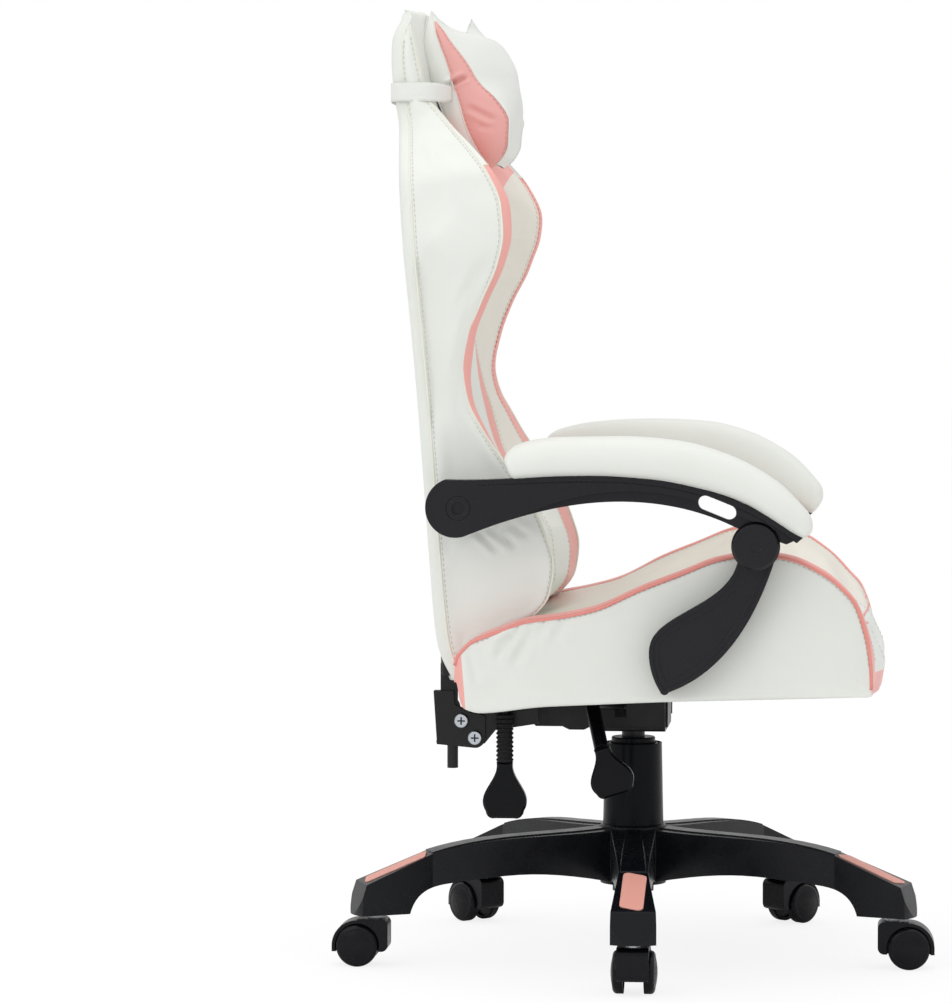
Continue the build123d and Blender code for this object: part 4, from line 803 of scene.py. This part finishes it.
# the underside is drawn up between the flanges, to the seat board
for vertex in seat.obj.data.vertices:
    inside = abs(vertex.co.x) < 0.2405 and -0.258 < vertex.co.y < 0.156
    if inside and vertex.co.z < 0.345:
        vertex.co.z = 0.3496
still = seat.hold(lambda i, j: i < 7 or i > seat.rows - 3 or j in seat.seams[1:5] or j >= seat.seams[4])
pad_out(seat.obj, still, 2.6, 0.007)


# ---------------------------------------------------------------- pillow
PILLOW_FRONT = path((-162, 952), (-150, 963), (-142, 980), (-141, 1007), (-155, 1034), (-172, 1056),
                    (-181, 1079), (-198, 1107), (-205, 1118), (-216, 1131), (-222, 1143))
PILLOW_LEAF = path((-163, 952), (-172, 964), (-182, 980), (-194, 1007), (-201, 1034), (-205, 1058),
                   (-207, 1079), (-212, 1107), (-215, 1118), (-218, 1131), (-222, 1143))
PILLOW_REAR = path((-165, 952), (-186, 964), (-204, 984), (-216, 1007), (-225, 1035), (-231, 1062),
                   (-232, 1090), (-229, 1120), (-222, 1143))
PILLOW_MIDDLE = path((-176, 966), (-163, 970), (-152, 984), (-144, 1010), (-138, 1038), (-142, 1068),
                     (-156, 1096), (-176, 1114), (-205, 1122))
PILLOW_BACKING = path((-176, 966), (-192, 972), (-208, 985), (-218, 1005), (-226, 1035), (-232, 1062),
                      (-236, 1086), (-232, 1108), (-205, 1122))


def pillow_row(t):
    """Seam points of the pillow, rear middle to front middle; its two ends close on themselves."""
    half = 130 - 8 * smooth((0.22 - t) / 0.22) - 6 * smooth((t - 0.8) / 0.2)
    fade = smooth(min(t, 1 - t) / 0.12)
    front = PILLOW_FRONT(t)
    middle = PILLOW_MIDDLE(t)
    points = [(0, *PILLOW_BACKING(t)), (half - 2 * fade, *PILLOW_REAR(t)), (half + 3 * fade, *PILLOW_LEAF(t)),
              (half, *front), (0, *middle)]
    sag = -6 * smooth((t - 0.75) / 0.25)
    bulges = [(0, -2 * fade, sag), (2 * fade, 0, 0), (5 * fade, 0, 0),
              (0, ((middle[0] - front[0]) * 0.15 + 2) * fade, sag)]
    return {"points": points, "bulges": bulges, "paint": {2: IN_WHITE} if points[2][2] > 1129 else {}}


IN_PINK = 1
PILLOW_STEPS = 60
pillow_rows = [pillow_row(k / PILLOW_STEPS) for k in range(PILLOW_STEPS + 1)]
pillow = Skin("headrest_pillow_cover", [(16, IN_WHITE), (5, IN_WHITE), (10, IN_PINK), (16, IN_WHITE)],
              pillow_rows, (WHITE, PINK))
still = pillow.hold(lambda i, j: i in (0, pillow.rows - 1) or j in pillow.seams[1:4])
pad_out(pillow.obj, still, 3.0, 0.007, 9.0, 0.6)


# ---------------------------------------------------------------- arm pads
PAD_UNDER = path((-124, 590), (-67, 593.6), (-21, 594.4), (36, 591.2), (93, 580.6), (139, 566.4),
                 (173, 547.8), (204, 528), (213, 524))
PAD_TOP = path((-134, 614), (-124, 627), (-106, 634.5), (-68, 639.5), (1, 640.5), (70, 635.5), (127, 619.5),
               (179, 591.5), (206, 566), (222, 543), (222, 531))
PAD_CENTRE = 286.0
PAD_HALF_WIDTH = 35.0
PAD_STEPS = 46
# share of the half width and of the height, round the section from the lower edge to the crown
PAD_SECTION = [(0.62, 0), (0.96, 0.16), (1, 0.42), (0.95, 0.62), (0.80, 0.86), (0.52, 0.97), (0, 1)]
PAD_SHOULDERS = (3, 9)  # columns of the section


def arm_pad(side):
    """Stuffed arm pad: crowned top, rolled edges and a nose that droops over the front of the arm."""
    section = [(-across, up) for across, up in PAD_SECTION] + PAD_SECTION[-2::-1] + [(0, 0)]
    around = len(section)
    verts = []
    for k in range(PAD_STEPS + 1):
        t = k / PAD_STEPS
        under = PAD_UNDER(t)
        top = PAD_TOP(t)
        if side > 0:
            ahead = smooth((t - 0.3) / 0.4)
            top = (top[0] + 4 * ahead, top[1] + 5 * smooth((t - 0.05) / 0.25) + 6 * ahead)
        half = PAD_HALF_WIDTH * (1 - 0.16 * smooth((0.1 - t) / 0.1) - 0.22 * smooth((t - 0.86) / 0.14))
        verts += [place(side * PAD_CENTRE + half * across, *mix(under, top, up)) for across, up in section]
    name = "arm_pad_cover_left" if side > 0 else "arm_pad_cover_right"
    obj = new_object(name, verts, tube_faces(PAD_STEPS, around))
    outward(obj)
    wear(obj, WHITE)
    # the underside is held where it meets the arm, the shoulders partly
    held = {}
    for i in range(PAD_STEPS + 1):
        for j in (0, around - 1, around - 2):
            held[i * around + j] = 1.0
        for j in PAD_SHOULDERS:
            held[i * around + j] = 0.6
    pad_out(obj, held, 2.0, 0.003)
    return obj


# creases of the flanks: from, to, half width, depth
BACK_CREASES = [((-168, 528), (-146, 505), 4.5, 3.4), ((-156, 531), (-132, 514), 4.5, 3.0),
                ((-142, 534), (-127, 508), 5, 3.4), ((-131, 535), (-110, 523), 5, 2.6),
                ((-236, 830), (-216, 660), 26, 6.0), ((-262, 1012), (-238, 1018), 5, 2.2),
                ((-258, 1000), (-226, 1010), 4, 1.8)]
SEAT_CREASES = [((-116, 416), (-145, 381), 5.5, 4.4), ((-102, 419), (-124, 374), 6, 4.0),
                ((-88, 421), (-103, 396), 6, 3.0), ((-129, 407), (-146, 394), 4.5, 3.0),
                ((-66, 424), (-78, 402), 7, 2.0), ((-176, 390), (-168, 350), 5, 2.0)]
PILLOW_CREASES = [((-186, 1062), (-210, 1051), 3, 5.4), ((-188, 1024), (-158, 1009), 4, 2.6),
                  ((-176, 1002), (-158, 1000), 4, 1.2)]

arm_pads = {side: arm_pad(side) for side in (1, -1)}

run_cloth()

# ---------------------------------------------------------------- after the cloth run
for vertex in back.obj.data.vertices:
    if vertex.co.x > 0:
        vertex.co.y += LEFT_SLACK(vertex.co.z * 1000) / 1000 * smooth(vertex.co.x / 0.2)
first, last = back.seams[3:5]
for i in range(back.rows):
    for j in range(first + 1, last):
        vertex = back.obj.data.vertices[back.at(i, back.columns - j)]
        t = (j - first) / (last - first)
        vertex.co.y -= RIGHT_FULLNESS(vertex.co.z * 1000) / 1000 * 4 * t * (1 - t)
for vertex in seat.obj.data.vertices:
    if vertex.co.x > 0 and vertex.co.z > 0.36:
        vertex.co.z += LEFT_LOFT(-vertex.co.y * 1000) / 1000 * smooth(vertex.co.x / 0.2)
rumple(back.obj, 0.0016, 0.16, 3)
rumple(seat.obj, 0.0016, 0.16, 5)
rumple(pillow.obj, 0.0018, 0.05, 9)
for obj in arm_pads.values():
    rumple(obj, 0.0010, 0.09, 11)


# seam, first row, rows left free at the top, radius
BACK_PIPING = [(3, 3, 0, 0.0013), (4, 5, 10, 0.0008), (5, 5, 24, 0.0009), (2, 4, 0, 0.0014)]
# seam, side of it, rows left free at the top, thread
BACK_STITCHES = [(3, -1, 0, THREAD_WHITE), (2, 1, 0, THREAD_WHITE), (4, -1, 24, THREAD_PINK),
                 (4, 1, 24, THREAD_WHITE), (5, -1, 30, THREAD_WHITE), (6, 1, 24, THREAD_WHITE)]
back_trim = []
seat_trim = []
pillow_trim = []
last_back = back.rows - 7
for side in (1, -1):
    for seam, first, free, radius in BACK_PIPING:
        back_trim.append(sweep(back.line(seam, side, first, last_back - free), radius, PALE_PIPING))
    for seam, step, free, thread in BACK_STITCHES:
        back_trim.append(sewn_row(back, seam, side, step, 8, last_back - 2 - free, thread))
    for seam, step in ((3, 1), (2, -1), (1, -1)):
        seat_trim.append(sewn_row(seat, seam, side, step, 8, seat.rows - 6, THREAD_WHITE))
    for seam, step in ((3, -1), (2, 1)):
        pillow_trim.append(sewn_row(pillow, seam, side, step, 6, pillow.rows - 7, THREAD_PINK))
    seat_trim.append(sweep(seat.line(3, side, 2, seat.rows - 2), 0.0021, RED_PIPING))
    seat_trim.append(sweep(seat.line(2, side, 4, seat.rows - 14), 0.0013, RED_PIPING))
    for seam in (1, 2, 3):
        pillow_trim.append(sweep(pillow.line(seam, side, 2, pillow.rows - 3), 0.0010, WHITE))
for i in range(6, back.rows - 6):
    for panel in (3, 4, 5):
        if {back.row_paint[i - 1][panel], back.row_paint[i][panel]} == {IN_WHITE, IN_CORAL}:
            back_trim += cross_seam(back, i, back.seams[panel], back.seams[panel + 1], 0.0009, PALE_PIPING)
for i in range(6, seat.rows - 6):
    if (seat.row_paint[i - 1][1], seat.row_paint[i][1]) == (IN_CREAM, IN_WHITE):
        seat_trim += cross_seam(seat, i, 0, seat.seams[2], 0.0012, RED_PIPING)
back_trim = joined("back_piping", back_trim)
seat_trim = joined("seat_piping", seat_trim)
pillow_trim = joined("pillow_seams", pillow_trim)

for skin in (back, seat, pillow):
    welded(skin.obj)
    outward(skin.obj)
    refine(skin.obj)
    bake(skin.obj)
for side in (1, -1):
    for skin, creases in ((back, BACK_CREASES), (seat, SEAT_CREASES), (pillow, PILLOW_CREASES)):
        for a, b, width, depth in creases:
            fold(skin.obj, a, b, width, depth, side, 0.1 if skin is pillow else 0.2)
for obj in arm_pads.values():
    refine(obj, 2)

# the pillow hangs a little twisted on its strap
PILLOW_HALF_WIDTH = 0.125
for obj in (pillow.obj, pillow_trim):
    for vertex in obj.data.vertices:
        high = vertex.co.x / PILLOW_HALF_WIDTH * smooth((vertex.co.z - 1.02) / 0.10)
        low = max(0.0, vertex.co.x / PILLOW_HALF_WIDTH) * smooth((1.04 - vertex.co.z) / 0.05)
        vertex.co.y -= 0.012 * high - 0.007 * low
        vertex.co.z += 0.004 * high + 0.009 * low

finish_piece(back.obj, "back", "white_leather", "back_cushion")
finish_piece(back_trim, "back", "white_leather")
finish_piece(seat.obj, "seat", "white_leather", "seat_cushion")
finish_piece(seat_trim, "seat", "white_leather")
finish_piece(pillow.obj, "back", "pillow_leather", "headrest_pillow")
finish_piece(pillow_trim, "back", "pillow_leather")
for side, obj in arm_pads.items():
    name = "left" if side > 0 else "right"
    finish_piece(obj, "arm_" + name, "white_leather", "arm_pad_" + name)


# ---------------------------------------------------------------- strap
STRAP_WIDTH = 22
STRAP_STEPS = 110
STRAP_COLUMNS = 6


def strap():
    """Elastic band round the head of the back, its ends sewn to the pillow."""
    half_route = [(136, -208, 1040), (150, -215, 1040), (165, -228, 1041), (170, -242, 1041),
                  (169.5, -262, 1041), (162, -273, 1041), (147, -279, 1041), (110, -281.5, 1041)]
    mirrored_route = [(-x, u, z) for x, u, z in half_route]
    route = path(*mirrored_route, (0, -282.5, 1041), *half_route[::-1])
    verts = []
    for i in range(STRAP_STEPS + 1):
        t = i / STRAP_STEPS
        x, u, z = route(t)
        ahead = route(min(1, t + 0.004))
        behind = route(max(0, t - 0.004))
        run = Vector((ahead[0] - behind[0], ahead[1] - behind[1], 0)).normalized()
        out = Vector((-run.y, run.x, 0))
        pinch = 1 - 0.22 * smooth(1 - min(t, 1 - t) / 0.05)
        for k in range(STRAP_COLUMNS + 1):
            s = k / STRAP_COLUMNS - 0.5
            wave = 0.25 * math.sin(9 * s + 40 * t) * smooth(1 - abs(min(t, 1 - t) - 0.09) / 0.09)
            verts.append(place(*(Vector((x, u, z + s * STRAP_WIDTH * pinch)) + out * wave)))
    stride = STRAP_COLUMNS + 1
    faces = [(i * stride + k, i * stride + k + 1, (i + 1) * stride + k + 1, (i + 1) * stride + k)
             for i in range(STRAP_STEPS) for k in range(STRAP_COLUMNS)]
    obj = new_object("pillow_strap_band", verts, faces)
    wear(obj, ELASTIC)
    thick = obj.modifiers.new("thickness", "SOLIDIFY")
    thick.thickness = 0.0010
    thick.offset = 0
    middle = verts[STRAP_COLUMNS // 2::stride]
    length = sum((b - a).length for a, b in zip(middle, middle[1:]))
    return obj, length


strap_piece, strap_length = strap()
finish_piece(strap_piece, "back", "white_elastic", "pillow_strap")


# ---------------------------------------------------------------- studio
def two_faced(tree, share, lit, seen, output):
    """One shader for the light's paths and another, by a share, for the camera."""
    rays = tree.nodes.new("ShaderNodeLightPath")
    part = tree.nodes.new("ShaderNodeMath")
    part.operation = "MULTIPLY"
    part.inputs[1].default_value = share
    blend = tree.nodes.new("ShaderNodeMixShader")
    tree.links.new(rays.outputs["Is Camera Ray"], part.inputs[0])
    tree.links.new(part.outputs[0], blend.inputs[0])
    tree.links.new(lit.outputs[0], blend.inputs[1])
    tree.links.new(seen.outputs[0], blend.inputs[2])
    tree.links.new(blend.outputs[0], output.inputs["Surface"])


def studio():
    """Plain pale floor and soft white surroundings, brighter above; both look white to the camera."""
    floor = new_object("floor", [Vector((x, y, 0)) for x, y in ((-30, -30), (30, -30), (30, 30), (-30, 30))],
                       [(0, 1, 2, 3)])
    material = bpy.data.materials.new("pale_floor")
    material.use_nodes = True
    tree = material.node_tree
    tree.nodes.clear()
    output = tree.nodes.new("ShaderNodeOutputMaterial")
    diffuse = fill(tree.nodes.new("ShaderNodeBsdfDiffuse"), Color=(0.9, 0.9, 0.9, 1))
    glow = fill(tree.nodes.new("ShaderNodeEmission"), Color=(1, 1, 1, 1), Strength=1.04)
    two_faced(tree, 0.8, diffuse, glow, output)
    floor.data.materials.append(material)

    world = bpy.data.worlds.new("studio")
    scene.world = world
    world.use_nodes = True
    tree = world.node_tree
    tree.nodes.clear()
    output = tree.nodes.new("ShaderNodeOutputWorld")
    soft = fill(tree.nodes.new("ShaderNodeBackground"), Color=(1, 1, 1, 1))
    coords = tree.nodes.new("ShaderNodeTexCoord")
    split = tree.nodes.new("ShaderNodeSeparateXYZ")
    tree.links.new(coords.outputs["Generated"], split.inputs[0])
    height = ranged(tree, split.outputs["Z"], 0.52, 1.08, -0.1, 0.9)
    tree.links.new(height, soft.inputs["Strength"])
    white = fill(tree.nodes.new("ShaderNodeBackground"), Color=(1, 1, 1, 1), Strength=1.0)
    two_faced(tree, 1.0, soft, white, output)


def lamp(name, at, towards, size, watts):
    """Square soft lamp."""
    light = bpy.data.lights.new(name, "AREA")
    light.size = size
    light.energy = watts
    obj = bpy.data.objects.new(name, light)
    scene.collection.objects.link(obj)
    obj.location = at
    obj.rotation_euler = (Vector(towards) - Vector(at)).to_track_quat("-Z", "Y").to_euler()


studio()
lamp("overhead", (-0.6, 0.2, 3.2), (0, 0, 0.5), 2.6, 13)
lamp("near_side", (-2.3, 1.5, 1.7), (0, 0.1, 0.65), 1.6, 10)
lamp("front", (-1.2, -3.0, 1.6), (0, 0, 0.6), 1.6, 4)

# the photograph's standpoint: the sitter's right side, seen a little from above and in front
camera = bpy.data.cameras.new("camera")
camera.lens = 151.34
camera.sensor_width = 36.0
camera.clip_end = 100
eye = bpy.data.objects.new("camera", camera)
scene.collection.objects.link(eye)
eye.location = (-5.1145, -0.3039, 0.7849)
aim = Vector((-0.0114, 0.1916, 0.5519))
eye.rotation_euler = (aim - Vector(eye.location)).to_track_quat("-Z", "Y").to_euler()
scene.camera = eye
scene.view_settings.view_transform = "Standard"
